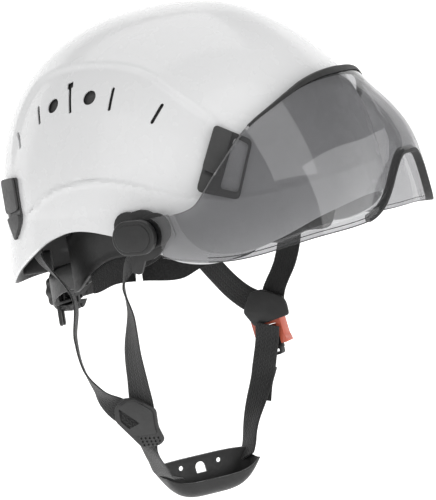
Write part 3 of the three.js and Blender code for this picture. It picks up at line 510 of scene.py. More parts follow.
def make_lens():
    """Smoke-tinted polycarbonate, with painted shade in a thin band along its top edge."""
    m = Nodes("smoke_lens")
    m.set(Base_Color=(0.03, 0.03, 0.032, 1), IOR=2.0, Specular_IOR_Level=1.0)
    m.set(Coat_Weight=1.0, Coat_Roughness=0.02)
    m.shader.inputs["Coat IOR"].default_value = 1.8
    m.link(m.span(m.noise(20, 2), 0.02, 0.05), m.shader.inputs["Roughness"])
    split = m.node("ShaderNodeSeparateXYZ")
    m.link(m.coords("UV"), split.inputs[0])
    down = split.outputs[1]
    # Painted shade: a thin band along the top edge is made darker and less clear, for the dark look of the
    # moulded edge.
    top_edge_shade = m.math("COMPARE", down, 0.008)
    top_edge_shade.node.inputs[2].default_value = 0.007
    clear = m.node("ShaderNodeBsdfTransparent")
    tint = m.node("ShaderNodeValToRGB")
    m.link(m.noise(9, 2), tint.inputs["Fac"])
    for element, (position, value) in zip(tint.color_ramp.elements, ((0.3, 0.74), (0.7, 0.78))):
        element.position = position
        element.color = (value, value, value * 1.01, 1)
    m.link(tint.outputs["Color"], clear.inputs["Color"])
    shine = m.node("ShaderNodeLayerWeight", Blend=0.5)
    grazing = m.math("POWER", shine.outputs["Facing"], 4.0)
    share = m.math("ADD", m.math("MULTIPLY", grazing, 0.6), 0.22)
    share_and_edge_shade = m.math("ADD", share, m.math("MULTIPLY", top_edge_shade, 0.5), clamp=True)
    mix = m.node("ShaderNodeMixShader")
    m.link(share_and_edge_shade, mix.inputs["Fac"])
    m.link(clear.outputs[0], mix.inputs[1])
    m.link(m.shader.outputs[0], mix.inputs[2])
    m.link(mix.outputs[0], m.output.inputs["Surface"])
    return m.material


def make_steel():
    m = Nodes("steel")
    m.set(Metallic=1.0)
    m.colour(m.noise(200, 4), (0.3, grey(0.42)), (0.7, grey(0.6)))
    m.link(m.span(m.noise(400, 4), 0.28, 0.42), m.shader.inputs["Roughness"])
    return m.bump(m.noise(900, 3), 0.00005, 0.5).material


def make_red():
    m = Nodes("buckle_red")
    m.set(Coat_Weight=0.25, Coat_Roughness=0.15)
    m.colour(m.noise(120, 5), (0.3, (0.60, 0.115, 0.065)), (0.75, (0.70, 0.155, 0.09)))
    m.link(m.span(m.noise(500, 3), 0.28, 0.4), m.shader.inputs["Roughness"])
    return m.bump(m.noise(1300, 3), 0.00008, 0.5).material


def make_floor():
    m = Nodes("studio_floor")
    m.colour(m.noise(3, 2), (0.3, grey(0.88)), (0.7, grey(0.9)))
    m.set(Roughness=0.9, Specular_IOR_Level=0.1, Emission_Strength=0.6, Emission_Color=(1, 1, 1, 1))
    return m.material


# A look is a material and the slot it fills.
WHITE = (make_shell_white(), "shell_white")
BLACK = (make_plastic("black_plastic", 0.014, 0.022, 0.42), "black_plastic")
GREY = (make_plastic("grey_plastic", 0.042, 0.058, 0.5), "grey_plastic")
RUBBER = (make_plastic("rubber", 0.016, 0.028, 0.62, 0.00014), "rubber")
WEB = (make_webbing(), "webbing")
CLOTH = (make_cloth(), "foam")
LENS = (make_lens(), "smoke_lens")
STEEL = (make_steel(), "steel")
RED = (make_red(), "buckle_red")
LIGHTER_BLACK = (GREY[0], BLACK[1])
LOOKS = (WHITE, BLACK, GREY, RUBBER, WEB, CLOTH, LENS, STEEL, RED)
SLOTS = {slot_name: material for material, slot_name in LOOKS}
for part in frame["record"]["subparts"]:
    node = frame["nodes"][part["node"]]
    node.data.materials.clear()
    node.data.materials.append(SLOTS[part["material_slot"]])

# ---------------------------------------------------------------- shell
# Height of the crease above the flared brim, against plan angle, and of the arch over the vents, against y.
CREASE = [(0, 8), (30, 4), (50, 1), (67, 5), (76, 12), (84, 19), (92, 23), (103, 22), (110, 18), (121, 6),
          (137, -6), (155, -15), (180, -20)]
ARCH = [(-96, 20), (-84, 40), (-73, 54), (-53, 71), (-31, 87), (-14, 94), (12, 99), (41, 100), (60, 97),
        (72, 92), (84, 76), (93, 50), (98, 20)]


def shell_relief(angle, z, p):
    """How far the outer surface stands out of the plain form, mm."""
    away = np.abs((angle + 180) % 360 - 180)
    crease = follow(CREASE, away)
    below = crease - z
    side = smooth((away - 56) / 12) * smooth((128 - away) / 10)
    band = (0.45 + 0.85 * side) * smooth(below / 1.6 + 0.5)
    bead = 0.55 * np.exp(-((below - 1.5) / 1.8) ** 2) * (0.3 + 0.7 * side)
    slit = -1.3 * np.exp(-((below + 0.9) / 0.55) ** 2) * smooth((away - 92) / 2) * smooth((105 - away) / 2)
    arch = follow(ARCH, p[..., 1])
    slope = (follow(ARCH, p[..., 1] + 1) - follow(ARCH, p[..., 1] - 1)) / 2
    inside = (arch - z) / np.sqrt(1 + slope * slope)
    flank = smooth((np.abs(p[..., 0]) - 20) / 25)
    inside = np.where((p[..., 1] > -96) & (p[..., 1] < 98), inside, -9)
    recess = -2.1 * smooth((inside + 1.5) / 5.5) * smooth((z - 22) / 40) * flank
    lip = 0.55 * np.exp(-((inside + 1.5) / 3.5) ** 2) * smooth((z - 30) / 30) * flank
    ridge = 0.9 * np.exp(-(p[..., 0] / 16) ** 2) * smooth((z - 40) / 60) * smooth((p[..., 1] + 105) / 50)
    return band + bead + slit + recess + lip + ridge


def build_shell():
    columns, dome_rows, skirt_rows = 300, 130, 62
    angle = 360 * np.arange(columns + 1) / columns - 180
    lift = np.cos(np.linspace(0, 1, dome_rows + 1) * math.pi / 2) ** (2 / DOME_POWER)
    layers = []
    for grow in (0.0, -SHELL_WALL):
        low = edge_height(angle)
        top = CROWN_HEIGHT + grow
        z = np.concatenate([np.tile(top * lift, (columns + 1, 1)),
                            np.outer(low, np.arange(1, skirt_rows + 1) / skirt_rows)], 1)
        a = np.tile(angle[:, None], (1, z.shape[1]))
        p = shell_point(a, z, grow)
        if grow == 0:
            p = shell_point(a, z, shell_relief(a, z, p) * smooth((CROWN_HEIGHT - z) / 6))
            p[..., 2] = z + 0.9 * smooth((z - 100) / 34) * np.exp(-(p[..., 0] / 16) ** 2)
        layers.append(p)
    verts, faces = walled(layers[0], layers[1], columns, dome_rows + skirt_rows, True)
    # Texture coordinates that mark the inside of the rear for its painted shade.
    rear_inside_shade = [(0.5, 2.0 if k >= len(verts) // 2 and verts[k][1] > 20 else 0.5) for k in range(len(verts))]
    shell = new_object("shell_piece", verts, faces, WHITE, 30, rear_inside_shade)
    tools = []
    for angle_at, z, lean, outline in VENTS:
        axes = shell_frame(angle_at, z, lean)
        for sign in (1, -1):
            tool = plate("vent_tool", outline, -10, 6, axes, WHITE, 0)
            if sign < 0:
                flip(tool)
            tools.append(tool)
    joined = join_objects(tools)
    boolean(shell, [joined])
    bevel(shell, 0.45, 2, 55.0, 30.0)
    return shell


def join_objects(objects):
    bm = bmesh.new()
    for o in objects:
        bm.from_mesh(o.data)
    mesh = bpy.data.meshes.new("joined")
    bm.to_mesh(mesh)
    bm.free()
    made = add_object("joined", mesh)
    for o in objects:
        bpy.data.objects.remove(o)
    return made


def slit(length, width=2.6):
    return stadium(length, width, 90, steps=8)


KEYHOLE = rounded([(-1.3, -12), (1.3, -12), (1.3, 7), (2.7, 7), (2.7, 12), (-2.7, 12), (-2.7, 7), (-1.3, 7)],
                  0.55, 2)
VENTS = [(130, 56, -0.36, slit(14)), (119.5, 72, -0.29, slit(15.5)), (112.5, 77, 0, circle(0, 0, 5.3)),
         (105, 81, -0.16, KEYHOLE), (96.5, 79, 0, circle(0, 0, 5.3)), (89, 76, 0.11, slit(17)),
         (74, 62, 0.56, slit(15.5))]
put(build_shell(), "helmet", "shell")

# ---------------------------------------------------------------- headlamp clips
CLIPS = {
    "front": {"angle": 54.5, "z": 26, "lean": 0.35,
              "flap": rounded([(1, 17.5), (14, 19), (14.2, -11), (1, -13)], 3)},
    "rear": {"angle": 132, "z": 7, "lean": -0.12,
             "flap": rounded([(-14, 22), (12, 24), (12.5, -1), (-13.2, -1)], 4)},
}
for end, clip in CLIPS.items():
    axes = shell_frame(clip["angle"], clip["z"], clip["lean"])
    for side in ("left", "right"):
        refine(f"lamp_clip_base_{end}_{side}", GREY, 0.5, 3)
    flap = plate(f"lamp_flap_{end}_left_piece", clip["flap"], 1.3, 3.0, axes, GREY, 0.7, 3)
    other = mirror_copy(flap, f"lamp_flap_{end}_right_piece")
    put(flap, f"flap_{end}_left", f"lamp_clip_flap_{end}_left")
    put(other, f"flap_{end}_right", f"lamp_clip_flap_{end}_right")

# ---------------------------------------------------------------- visor
LENS_LOW = [(0, 11), (4, 10.5), (7, 6), (10, -2), (13, -11), (17, -20), (22, -26), (28, -28.5), (44, -31.5),
            (61, -37), (69, -38), (78, -36), (85, -32), (90, -29)]
LENS_TOP = [(0, 73.5), (12.6, 72), (23, 68), (31, 62), (38.5, 55), (45, 48), (50, 40.5), (54.3, 31), (60, 17),
            (65, 7), (70, 0.5), (76, -2.5), (82, -4), (90, -5)]
LENS_REACH = 86


def lens_point(angle, v, inset=0.0):
    angle, v, inset = floats(angle, v, inset)
    t = np.radians(angle)
    top = follow(LENS_TOP, np.abs(angle))
    low = follow(LENS_LOW, np.abs(angle))
    near = shell_point(angle, np.maximum(0, top), VISOR_STANDOFF + LENS_WALL - inset)
    far_x = (VISOR_HALF_WIDTH - inset) * signed_power(np.sin(t), VISOR_POWER)
    far_y = VISOR_CENTRE_Y - (VISOR_DEPTH - inset) * np.cos(t) ** VISOR_POWER
    bulge = np.sin(np.minimum(1, v / 0.95) * math.pi / 2)
    side = smooth((np.abs(angle) - 58) / 26)
    mix = bulge + (1 - bulge) * side
    return np.stack([near[..., 0] + (far_x - near[..., 0]) * mix, near[..., 1] + (far_y - near[..., 1]) * mix,
                     top + (low - top) * v], -1)


def build_lens():
    columns, rows = 150, 44
    s = 2 * np.arange(columns + 1) / columns - 1
    angle = LENS_REACH * (0.62 * s + 0.38 * s ** 3)
    a, v = np.meshgrid(angle, np.arange(rows + 1) / rows, indexing="ij")
    lip = -0.5 * smooth((v - 0.955) / 0.02)
    verts, faces = walled(lens_point(a, v, lip), lens_point(a, v, LENS_WALL), columns, rows)
    # Texture coordinates; the rows nearest the top carry the painted shade along the lens's top edge.
    edge = 2 * [(i / columns, min(0.999, j / rows)) for i in range(columns + 1) for j in range(rows + 1)]
    lens = new_object("visor_lens_piece", verts, faces, LENS, 40, edge)
    turn = math.radians(SLIDE_ANGLE)

    def on_ear(r, h):
        return (PIVOT_Y - r * math.cos(turn) + h * math.sin(turn),
                PIVOT_Z + r * math.sin(turn) + h * math.cos(turn))

    half = 10
    ear = rounded([on_ear(-12, half), on_ear(-12, -half), on_ear(28, -half), on_ear(28, half - 4)], 3)
    fork = SPINDLE_RADIUS + 0.5
    slot_line = [on_ear(0, fork), on_ear(-30, fork), on_ear(-30, -fork), on_ear(0, -fork)]
    for sign in (1, -1):
        made = [plate("ear", ear, 116.6, 119, SIDE_AXES, LENS, 0),
                plate("eye", circle(PIVOT_Y, PIVOT_Z, fork), 105, 125, SIDE_AXES, LENS, 0),
                plate("gap", slot_line, 105, 125, SIDE_AXES, LENS, 0)]
        if sign < 0:
            for piece in made:
                flip(piece)
        boolean(lens, made[:1], "UNION")
        boolean(lens, made[1:])
    shade(lens, 30)
    return lens


put(build_lens(), "visor", "visor_lens")


# The seal's lip: its drop along the shell and its depth towards it, as shares.
SEAL_LIP = [(0, 0.6), (0.2, 0.8), (0.6, 1), (1, 1), (1, 0.3), (0.8, 0), (0.2, 0)]


def build_seal():
    """Rubber channel that grips the lens's top edge, with a lip down to the shell that thins to both ends."""
    columns = 90
    verts = []
    for i in range(columns + 1):
        u = 2 * i / columns - 1
        angle = 47 * u
        taper = (1 - u * u) ** 2
        top = float(follow(LENS_TOP, abs(angle)))
        tall = top - float(follow(LENS_LOW, abs(angle)))
        grip = 0.8 + 2.4 * taper
        lift = np.array([0, 0, 0.35 + 0.45 * taper])
        flange = [lens_point(angle, grip / tall, -0.25), lens_point(angle, grip / tall, -0.7),
                  lens_point(angle, 0, -0.8) + lift * 0.5, lens_point(angle, 0, -0.4) + lift,
                  lens_point(angle, 0, LENS_WALL) + lift]
        lip = [shell_point(angle, top - 0.6 - drop * (0.25 + 0.75 * taper) * 5,
                           5.7 - depth * (0.95 + 1.6 * taper)) for drop, depth in SEAL_LIP]
        inner = [lens_point(angle, 0, LENS_WALL) + lift * 0.4, lens_point(angle, 0, -0.25) + lift * 0.4]
        verts += flange + lip + inner
    n = len(verts) // (columns + 1)
    return new_object("visor_seal_piece", verts, sweep_faces(n, columns), RUBBER, 50)


def rim_sweep(name, first, last, section, columns):
    """Sweep of a section along the lens's lower edge; the section is (mm up from the edge, mm inwards)."""
    verts = []
    for i in range(columns + 1):
        angle = first + (last - first) * i / columns
        tall = float(follow(LENS_TOP, abs(angle)) - follow(LENS_LOW, abs(angle)))
        verts += [lens_point(angle, 1 - up / tall, inset) for up, inset in section]
    return new_object(name, verts, sweep_faces(len(section), columns), RUBBER, 40)


# Plan angles at which the trim round the notch and the lines after it end, and the channel's section.
NOTCH_REACH, LINE_REACH = 24, 74
CHANNEL = [(1.9, -0.1), (1.7, -0.7), (-0.3, -0.8), (-0.7, -0.3),
           (-0.7, LENS_WALL + 1.6), (0.2, LENS_WALL + 2.3), (3.2, LENS_WALL + 2.3),
           (4.0, LENS_WALL + 1.6), (4.0, LENS_WALL + 0.1), (-0.1, LENS_WALL + 0.1), (-0.1, -0.1)]
put(build_seal(), "visor", "visor_seal")
put(rim_sweep("nose_trim_piece", -NOTCH_REACH, NOTCH_REACH, CHANNEL, 120), "visor", "nose_trim")
# Thin dark strips along the lens's lower edge, past the notch trim, are painted shade for the dark look of the
# moulded edge.
for low, high in ((0.05, 0.7), (2.9, 3.4)):
    line = [(high, -0.5), (low, -0.5), (low, -0.75), (high, -0.75)]
    for sign, side in ((1, "left"), (-1, "right")):
        put(rim_sweep(f"lens_edge_shade_line_{side}_{int(low)}", sign * (NOTCH_REACH + 0.5), sign * LINE_REACH,
                      line, 80), "visor")

knob = plate("visor_knob_left_piece", stadium(32, 23, 0, PIVOT_Y, PIVOT_Z, 24), 119.3, 125.2, SIDE_AXES,
             BLACK, 1.6, 5)
knob_face = plate("face", stadium(26.5, 17.5, 0, PIVOT_Y, PIVOT_Z, 24), 124, 126, SIDE_AXES, BLACK, 0.6, 3)
spindle = plate("spindle", circle(PIVOT_Y, PIVOT_Z, SPINDLE_RADIUS), 110, 121, SIDE_AXES, BLACK, 0)
boolean(knob, [knob_face, spindle], "UNION")
shade(knob, 40)
put(mirror_copy(knob, "visor_knob_right_piece"), "visor_arms", "visor_knob_right")
put(knob, "visor_arms", "visor_knob_left")
for side in ("left", "right"):
    refine(f"visor_bracket_{side}", BLACK, 0.5, 2)
    refine(f"visor_arm_{side}", BLACK, 0.4, 2)
    refine(f"visor_washer_{side}", STEEL, 0.1, 1)

# ---------------------------------------------------------------- headband and pads
BAND_END = 126
BAND_TOP = [(0, 4), (40, 0), (90, -4), (112, -6), (126, -16)]
BAND_LOW = [(0, -9), (20, -13), (40, -27), (75, -31), (100, -33), (112, -42), (126, -56)]


def band_point(angle, z, inset=0.0):
    angle, z, inset = floats(angle, z, inset)
    t = np.radians(angle)
    return np.stack([(BAND_HALF_WIDTH - inset) * np.sin(t), -(BAND_HALF_LENGTH - inset) * np.cos(t), z], -1)


def band_grid(first, last, top, low, inset, columns, rows):
    a, v = np.meshgrid(np.linspace(first, last, columns + 1), np.arange(rows + 1) / rows, indexing="ij")
    z = follow(low, np.abs(a)) + (follow(top, np.abs(a)) - follow(low, np.abs(a))) * v
    return a, v, band_point(a, z, inset)


def build_headband():
    columns, rows = 150, 14
    v = np.tile(np.arange(rows + 1) / rows, (columns + 1, 1))
    outer = band_grid(-BAND_END, BAND_END, BAND_TOP, BAND_LOW,
                      -1.0 - 0.7 * (np.abs(2 * v - 1) > 0.85), columns, rows)[2]
    inner = band_grid(-BAND_END, BAND_END, BAND_TOP, BAND_LOW, 1.0, columns, rows)[2]
    verts, faces = walled(outer, inner, columns, rows)
    return bevel(new_object("headband_piece", verts, faces, BLACK), 0.35, 2, 50)


def build_pad(name, first, last, top, low, inset, thick, puff, channels, columns, rows=14):
    """Stuffed pad lying on the inside of the band, quilted by sewn channels across it."""
    a, v, back = band_grid(first, last, top, low, inset, columns, rows)
    u = (a - first) / (last - first)
    rim = np.clip(np.minimum(u, 1 - u) * abs(last - first) * 1.5 / 6, 0, 1)
    side = np.clip(np.minimum(v, 1 - v) * 5, 0, 1)
    round_off = np.sqrt(np.clip(1 - (1 - rim) ** 2, 0, 1)) * np.sqrt(np.clip(1 - (1 - side) ** 2, 0, 1))
    swell = puff * np.sin(math.pi * v) * (0.6 + 0.4 * np.sin(math.pi * u))
    sewn = np.ones_like(u)
    for k in range(1, channels):
        sewn -= 0.55 * np.exp(-((u - k / channels) * abs(last - first) * 1.5 / 1.6) ** 2)
    depth = 0.35 + (thick - 0.35 + swell) * round_off * np.clip(sewn, 0.3, 1)
    z = back[..., 2]
    front = band_point(a, z, inset + depth)
    verts, faces = walled(back, front, columns, rows)
    obj = new_object(name, verts, faces, CLOTH, 60)
    return obj


put(build_headband(), "helmet", "headband")
BROW_TOP = [(0, 0), (90, -8)]
BROW_LOW = [(0, -8), (20, -12), (38, -26), (47, -40), (65, -44), (75, -51), (90, -50)]
put(build_pad("brow_pad_piece", -90, 90, BROW_TOP, BROW_LOW, 1.5, 6, 2, 12, 220), "helmet", "brow_pad")
for sign, side in ((1, "left"), (-1, "right")):
    put(build_pad(f"side_pad_{side}_piece", sign * 93, sign * 115, [(93, -10), (115, -16)],
                  [(93, -50), (102, -51), (115, -57)], 1.5, 5, 2, 2, 40), "helmet", f"side_pad_{side}")
for where in ("front", "side", "rear"):
    for side in ("left", "right"):
        refine(f"hanger_{where}_{side}", BLACK, 0.6, 2)


# ---------------------------------------------------------------- webbing
def ribbon(name, stops, width, thick, steps, body, node):
    """Webbing with rounded selvedges; its UVs are in millimetres across and along."""
    section = []
    half, flat = width / 2, thick / 2
    cells = 14
    for k in range(cells + 1):
        x = -half + width * k / cells
        edge = 1 - 0.55 * (abs(x) / half) ** 12
        section.append((x, flat * edge))
    section += [(x, -y) for x, y in reversed(section)]
    points = [s[0] for s in stops]
    across = [s[1] for s in stops]
    verts, rows, along = [], [], 0.0
    before = None
    for k in range(steps + 1):
        t = k / steps
        centre = catmull(points, t)
        tangent = unit(catmull(points, min(1, t + 1e-4)) - catmull(points, max(0, t - 1e-4)))
        side = catmull(across, t)
        side = unit(side - tangent * side.dot(tangent))
        face = unit(np.cross(side, tangent))
        along += 0 if before is None else float(np.linalg.norm(centre - before))
        before = centre
        rows.append(along)
        verts += [centre + side * x + face * y for x, y in section]
    uv = [(x / width + 0.5, row * MM) for row in rows for x, _ in section]
    obj = new_object(name, verts, sweep_faces(len(section), steps), WEB, 50, uv)
    put(obj, body, node)


HANGER_ANGLES = {"front": 35, "side": 97, "rear": 150}
HANGER_LOW = {"front": -8, "side": -8, "rear": -42}
HANGER_TALL = 15


def crown_strap(name, first, last, sign, layer):
    def stop(angle, share, z):
        inside = band_point(abs(angle), 0, -2.8)
        outside = shell_point(abs(angle), 0, -5.4)
        foot = inside + (outside - inside) * 0.45
        return np.array([math.copysign(1, angle) * foot[0] * share, foot[1] * share, z])

    top = 96 + layer * 1.9
    a, b = -sign * HANGER_ANGLES[first], sign * HANGER_ANGLES[last]
    rise_a = HANGER_LOW[first] + HANGER_TALL + 1.2
    rise_b = HANGER_LOW[last] + HANGER_TALL + 1.2
    across = unit(np.cross(stop(b, 1, 0) - stop(a, 1, 0), (0, 0, 1)))
    route = [stop(a, 1, rise_a), stop(a, 0.97, 34), stop(a, 0.8, 66), stop(a, 0.45, 0.93 * top),
             np.array([0, 0, top]), stop(b, 0.45, 0.93 * top), stop(b, 0.8, 66), stop(b, 0.97, 34),
             stop(b, 1, rise_b)]
    ribbon(f"{name}_piece", [(p, across) for p in route], 20, 1.2, 110, "helmet", name)


crown_strap("crown_strap_side_to_side", "side", "side", 1, 0)
crown_strap("crown_strap_front_right", "front", "rear", 1, 1)
crown_strap("crown_strap_front_left", "front", "rear", -1, 2)


def build_crown_pad():
    """Round pad under the crossing straps, quilted in rings."""
    profile = [(0, -7), (12, -7.2), (24, -8.5), (30, -10), (33.2, -10.9), (34.2, -9.6), (33.6, -7.9),
               (25, -4.2), (12, -2.4), (0, -1.8)]
    steps, count = 72, 28
    line = []
    for k in range(count + 1):
        r, h = catmull([(*p, 0) for p in profile], k / count)[:2]
        line.append((max(0, r), h - 0.5 * math.exp(-((r - 17) / 1.5) ** 2) * (1 if k > count / 2 else -1)))
    verts = [(r * math.cos(2 * math.pi * i / steps), r * math.sin(2 * math.pi * i / steps), h + 94.2)
             for i in range(steps) for r, h in line]
    n = count + 1
    faces = [(i * n + k, ((i + 1) % steps) * n + k, ((i + 1) % steps) * n + k + 1, i * n + k + 1)
             for i in range(steps) for k in range(count)]
    return new_object("crown_pad_piece", verts, faces, CLOTH, 60)


put(build_crown_pad(), "helmet", "crown_pad")

ANCHORS = {"front": (81, -10), "rear": (127, -14)}
FACING_SIDE = (0, 1, 0)
EDGE_ON = (0.86, 0.51, 0)


def upper(name, sign, turn):
    angle, z = ANCHORS[name]
    x, y, _ = shell_point(angle, z, -SHELL_WALL - 6)
    return [((sign * x, y, z - 7.2), turn), ((sign * x, y, z - 13), turn)]


STRAPS = {
    "front_right": ("helmet", upper("front", -1, FACING_SIDE) + [
        ((-94, 2, -38), (0.6, 0.8, 0)), ((-92, 9, -50), EDGE_ON), ((-88, 9.5, -72), (0.7, 0.7, 0)),
        ((-80, 18, -100), (0.4, 0.9, 0)), ((-73, 22.5, -122), (0.2, 1, 0)),
        ((-69.8, 24.5, -136), FACING_SIDE), ((-69.4, 25, -146), FACING_SIDE)]),
    "rear_right": ("helmet", upper("rear", -1, (0.6, 0.8, 0)) + [
        ((-84, 57, -58), EDGE_ON), ((-81, 63, -88), EDGE_ON), ((-79, 61.5, -110), (0.82, 0.6, 0)),
        ((-75, 54, -127), (0.6, 0.7, -0.3)), ((-67.5, 47, -140), (0, 0.8, -0.55)),
        ((-65, 38.5, -148), (0, 0.7, -0.7)), ((-65.5, 31, -155), (0, 0.7, -0.7))]),
    "front_left": ("helmet", upper("front", 1, FACING_SIDE) + [
        ((91, -25, -45), FACING_SIDE), ((84, -21, -66), FACING_SIDE), ((71.6, -14.5, -86), FACING_SIDE),
        ((70.2, -11.5, -101.5), FACING_SIDE)]),
    "rear_left": ("helmet", upper("rear", 1, (-0.6, 0.8, 0)) + [
        ((90, 60, -50), (0, -0.5, 0.8)), ((86, 42, -68), (0, -0.6, 0.8)), ((78, 24, -82), (0, -0.6, 0.8)),
        ((74.5, 10, -91), (0, -0.55, 0.8)), ((73.2, -3.5, -96.5), (0, -0.5, 0.8))]),
    "lower_left": ("chin", [
        ((63.2, -9.5, -110), (0, 0.97, -0.24)), ((65, -6.5, -121), (0, 0.97, -0.24)),
        ((65.5, -2.5, -134), FACING_SIDE), ((66, 3, -150), FACING_SIDE),
        ((60, 8, -167), (0.15, 1, 0)), ((49, 8.5, -181), (0.4, 0.9, -0.1)), ((39, 7, -193), (0.6, 0.8, 0)),
        ((28, 5, -202), (0.62, 0.79, 0))]),
    "tail_left": ("chin", [
        ((72.5, 1.5, -141), FACING_SIDE), ((71.5, 7, -154), FACING_SIDE), ((69, 9.5, -168), FACING_SIDE)]),
    "lower_right": ("chin", [
        ((-69.5, 25.5, -164), (0.2, 1, 0)), ((-66, 26.5, -171), (0.45, 0.9, 0)),
        ((-53, 30, -185), (0.45, 0.9, 0)),
        ((-38, 35.5, -197), (0.45, 0.9, 0)), ((-24, 37.5, -202.5), (0.45, 0.9, 0))]),
}
for name, (body, stops) in STRAPS.items():
    ribbon(f"chin_strap_{name}_piece", stops, WEBBING, WEBBING_THICK, 90, body, f"chin_strap_{name}")

for where in ("front", "rear"):
    for side in ("left", "right"):
        refine(f"strap_anchor_{where}_{side}", BLACK, 0.6, 2)

# Adjusters in their own plane: outline, raised face, and the window, dimples and bridge of the right one.
RIGHT_OUTLINE = [(-15.5, 10), (-9, 17), (2, 17), (16.5, 8), (17, -4), (21, -13), (17, -17), (3, -18),
                 (-15.5, 1)]
RIGHT_FACE = [(-13.6, 9.2), (-8, 15), (1.5, 15), (14.6, 7), (15, -5), (16.5, -8.5), (-2, -10), (-13.6, 0.8)]
LEFT_OUTLINE = [(10.7, 11.5), (1, 13.7), (-16, 7.6), (-18.8, 2.3), (-19.7, -6.9), (10.7, -14.5), (18.8, -3)]
LEFT_FACE = [(9.8, 9.6), (1, 11.6), (-14.6, 6), (-17, 1.6), (-17.7, -5.4), (9.8, -12.2), (16.4, -2.9)]
WINDOW = [(-11.5, 10), (4, -1), (-5, -4.5), (-11, 1)]


def adjuster_axes(centre, normal):
    out = unit(normal)
    level = unit(np.cross((0, 0, 1), out))
    return np.array(centre, float), level, np.cross(out, level), out


def build_adjuster(side, outline, face, window, axes, dimples, look):
    """Strap adjuster: a base plate and a raised face, cut with a window and grip dimples where these are given;
    the bridge over its top is built apart.
    """
    name = f"strap_adjuster_{side}_piece"
    base = plate(name, rounded(outline, 2.5), 0, 2.3, axes, look, 0.6, 3)
    raised = plate("raised", rounded(face, 2), 1.2, 3.2, axes, look, 0.5, 3)
    boolean(base, [raised], "UNION")
    tools = [plate("window", rounded(window, 1), -2, 6, axes, BLACK, 0)] if window else []
    tools += [plate("dimple", circle(x, y, 0.85, 12), 1.3, 4, axes, BLACK, 0) for x, y in dimples]
    if tools:
        boolean(base, [join_objects(tools)])
    shade(base, 40)
    return base


GRIP_DIMPLES = [(3.5 + 3.3 * k + 0.9 * row, -11.6 - 2.3 * row)
                for row in range(3) for k in range(5 - (row == 2))]
right_axes = adjuster_axes((-74, 28, -149), (-1, -0.1, 0.1))
put(build_adjuster("right", RIGHT_OUTLINE, RIGHT_FACE, WINDOW, right_axes, GRIP_DIMPLES, LIGHTER_BLACK),
    "helmet", "strap_adjuster_right")
left_axes = adjuster_axes((64.8, -8, -97), (1, 0, 0))
put(build_adjuster("left", LEFT_OUTLINE, LEFT_FACE, [], left_axes, [], BLACK),
    "helmet", "strap_adjuster_left")
BRIDGE = [(-11, 13.2), (-5, 16.6), (3, 16.4), (8, 13.6), (7.2, 12.4), (2.6, 14.8), (-4.6, 15), (-10.2, 12)]
put(plate("adjuster_bridge", rounded(BRIDGE, 0.6), 3.3, 4.6, right_axes, BLACK, 0.5, 3), "helmet")
refine("buckle_socket", RED, 0.5, 3)
refine("buckle_button", RED, 0.4, 3)
refine("buckle_plug", BLACK, 0.4, 2)

# ---------------------------------------------------------------- chin cup
CUP = {"centre": (-1, 22), "turn": 38, "reach": 37, "width": 17, "wall": 2, "near": -207, "far": -195,
       "deep": 19, "end_near": -200, "end_far": -196, "end_deep": 4}


def cup_point(u, phi, inset):
    s = 2 * u - 1
    bow = s ** 4
    turn = math.radians(CUP["turn"])
    near = CUP["near"] + (CUP["end_near"] - CUP["near"]) * bow
    far = CUP["far"] + (CUP["end_far"] - CUP["far"]) * bow
    half = CUP["width"] * (1 - 0.2 * bow) - inset
    deep = CUP["deep"] + (CUP["end_deep"] - CUP["deep"]) * bow - inset
    across = -half * np.cos(phi * math.pi)
    along = CUP["reach"] * s
    return np.stack([CUP["centre"][0] + along * math.cos(turn) + across * math.sin(turn),
                     CUP["centre"][1] - along * math.sin(turn) + across * math.cos(turn),
                     near + (far - near) * phi - deep * np.sin(phi * math.pi)], -1)


def build_cup():
    columns, rows = 90, 48
    u, v = grid(columns, rows)
    rim = np.maximum(np.exp(-(v * 22) ** 2), np.exp(-((1 - v) * 22) ** 2))
    verts, faces = walled(cup_point(u, v, -0.5 * rim), cup_point(u, v, CUP["wall"]), columns, rows)
    cup = new_object("chin_cup_piece", verts, faces, BLACK)
    turn = math.radians(CUP["turn"])
    turns = [k * math.pi / 14 for k in range(15)]
    arch = [(-4, -4), (4, -4)] + [(4 * math.cos(a), 4 * math.sin(a)) for a in turns]
    right = np.array([-math.cos(turn), math.sin(turn), 0])
    out = np.array([math.sin(turn), math.cos(turn), 0])
    tools = []
    eyelet = circle(0, 0, 1.8, 20)
    for outline, along, z in ((arch, 0, -203.5), (eyelet, 15, -201.5), (eyelet, -15, -201.5)):
        centre = np.array([CUP["centre"][0] + along * math.cos(turn) + 5 * math.sin(turn),
                           CUP["centre"][1] - along * math.sin(turn) + 5 * math.cos(turn), z])
        tools.append(plate("hole", outline, 0, 14, (centre, right, np.array([0, 0, 1.0]), out), BLACK, 0))
    boolean(cup, tools)
    return bevel(cup, 0.5, 2, 50, 40)


put(build_cup(), "chin", "chin_cup")

# ---------------------------------------------------------------- ratchet at the nape
for node in ("nape_cradle", "ratchet_cover", "band_tail_left", "band_tail_right"):
    refine(node, BLACK, 0.4, 2)
refine("ratchet_pinion", GREY, 0.3, 1)


def build_prongs():
    """Two hooked prongs under the near corner of the ratchet cover, for a lamp's cable."""
    parts = []
    for k in range(2):
        x = -13.5 + 3.6 * k
        outline = rounded([(x - 1, -66), (x + 1, -66), (x + 0.9, -86), (x - 0.2, -88), (x - 1.2, -86.5)], 0.5)
        axes = (np.array([0, 121.3, 0]), np.array([1.0, 0, 0]), np.array([0, 0, 1.0]), np.array([0, -1.0, 0]))
        parts.append(plate("prong", outline, -1.2, 1.2, axes, BLACK, 0.4, 2))
    joined = join_objects(parts)
    joined.name = "ratchet_cover_prongs"
    joined.data.name = "ratchet_cover_prongs"
    dress(joined, BLACK)
    shade(joined)
    return joined


put(build_prongs(), "nape")


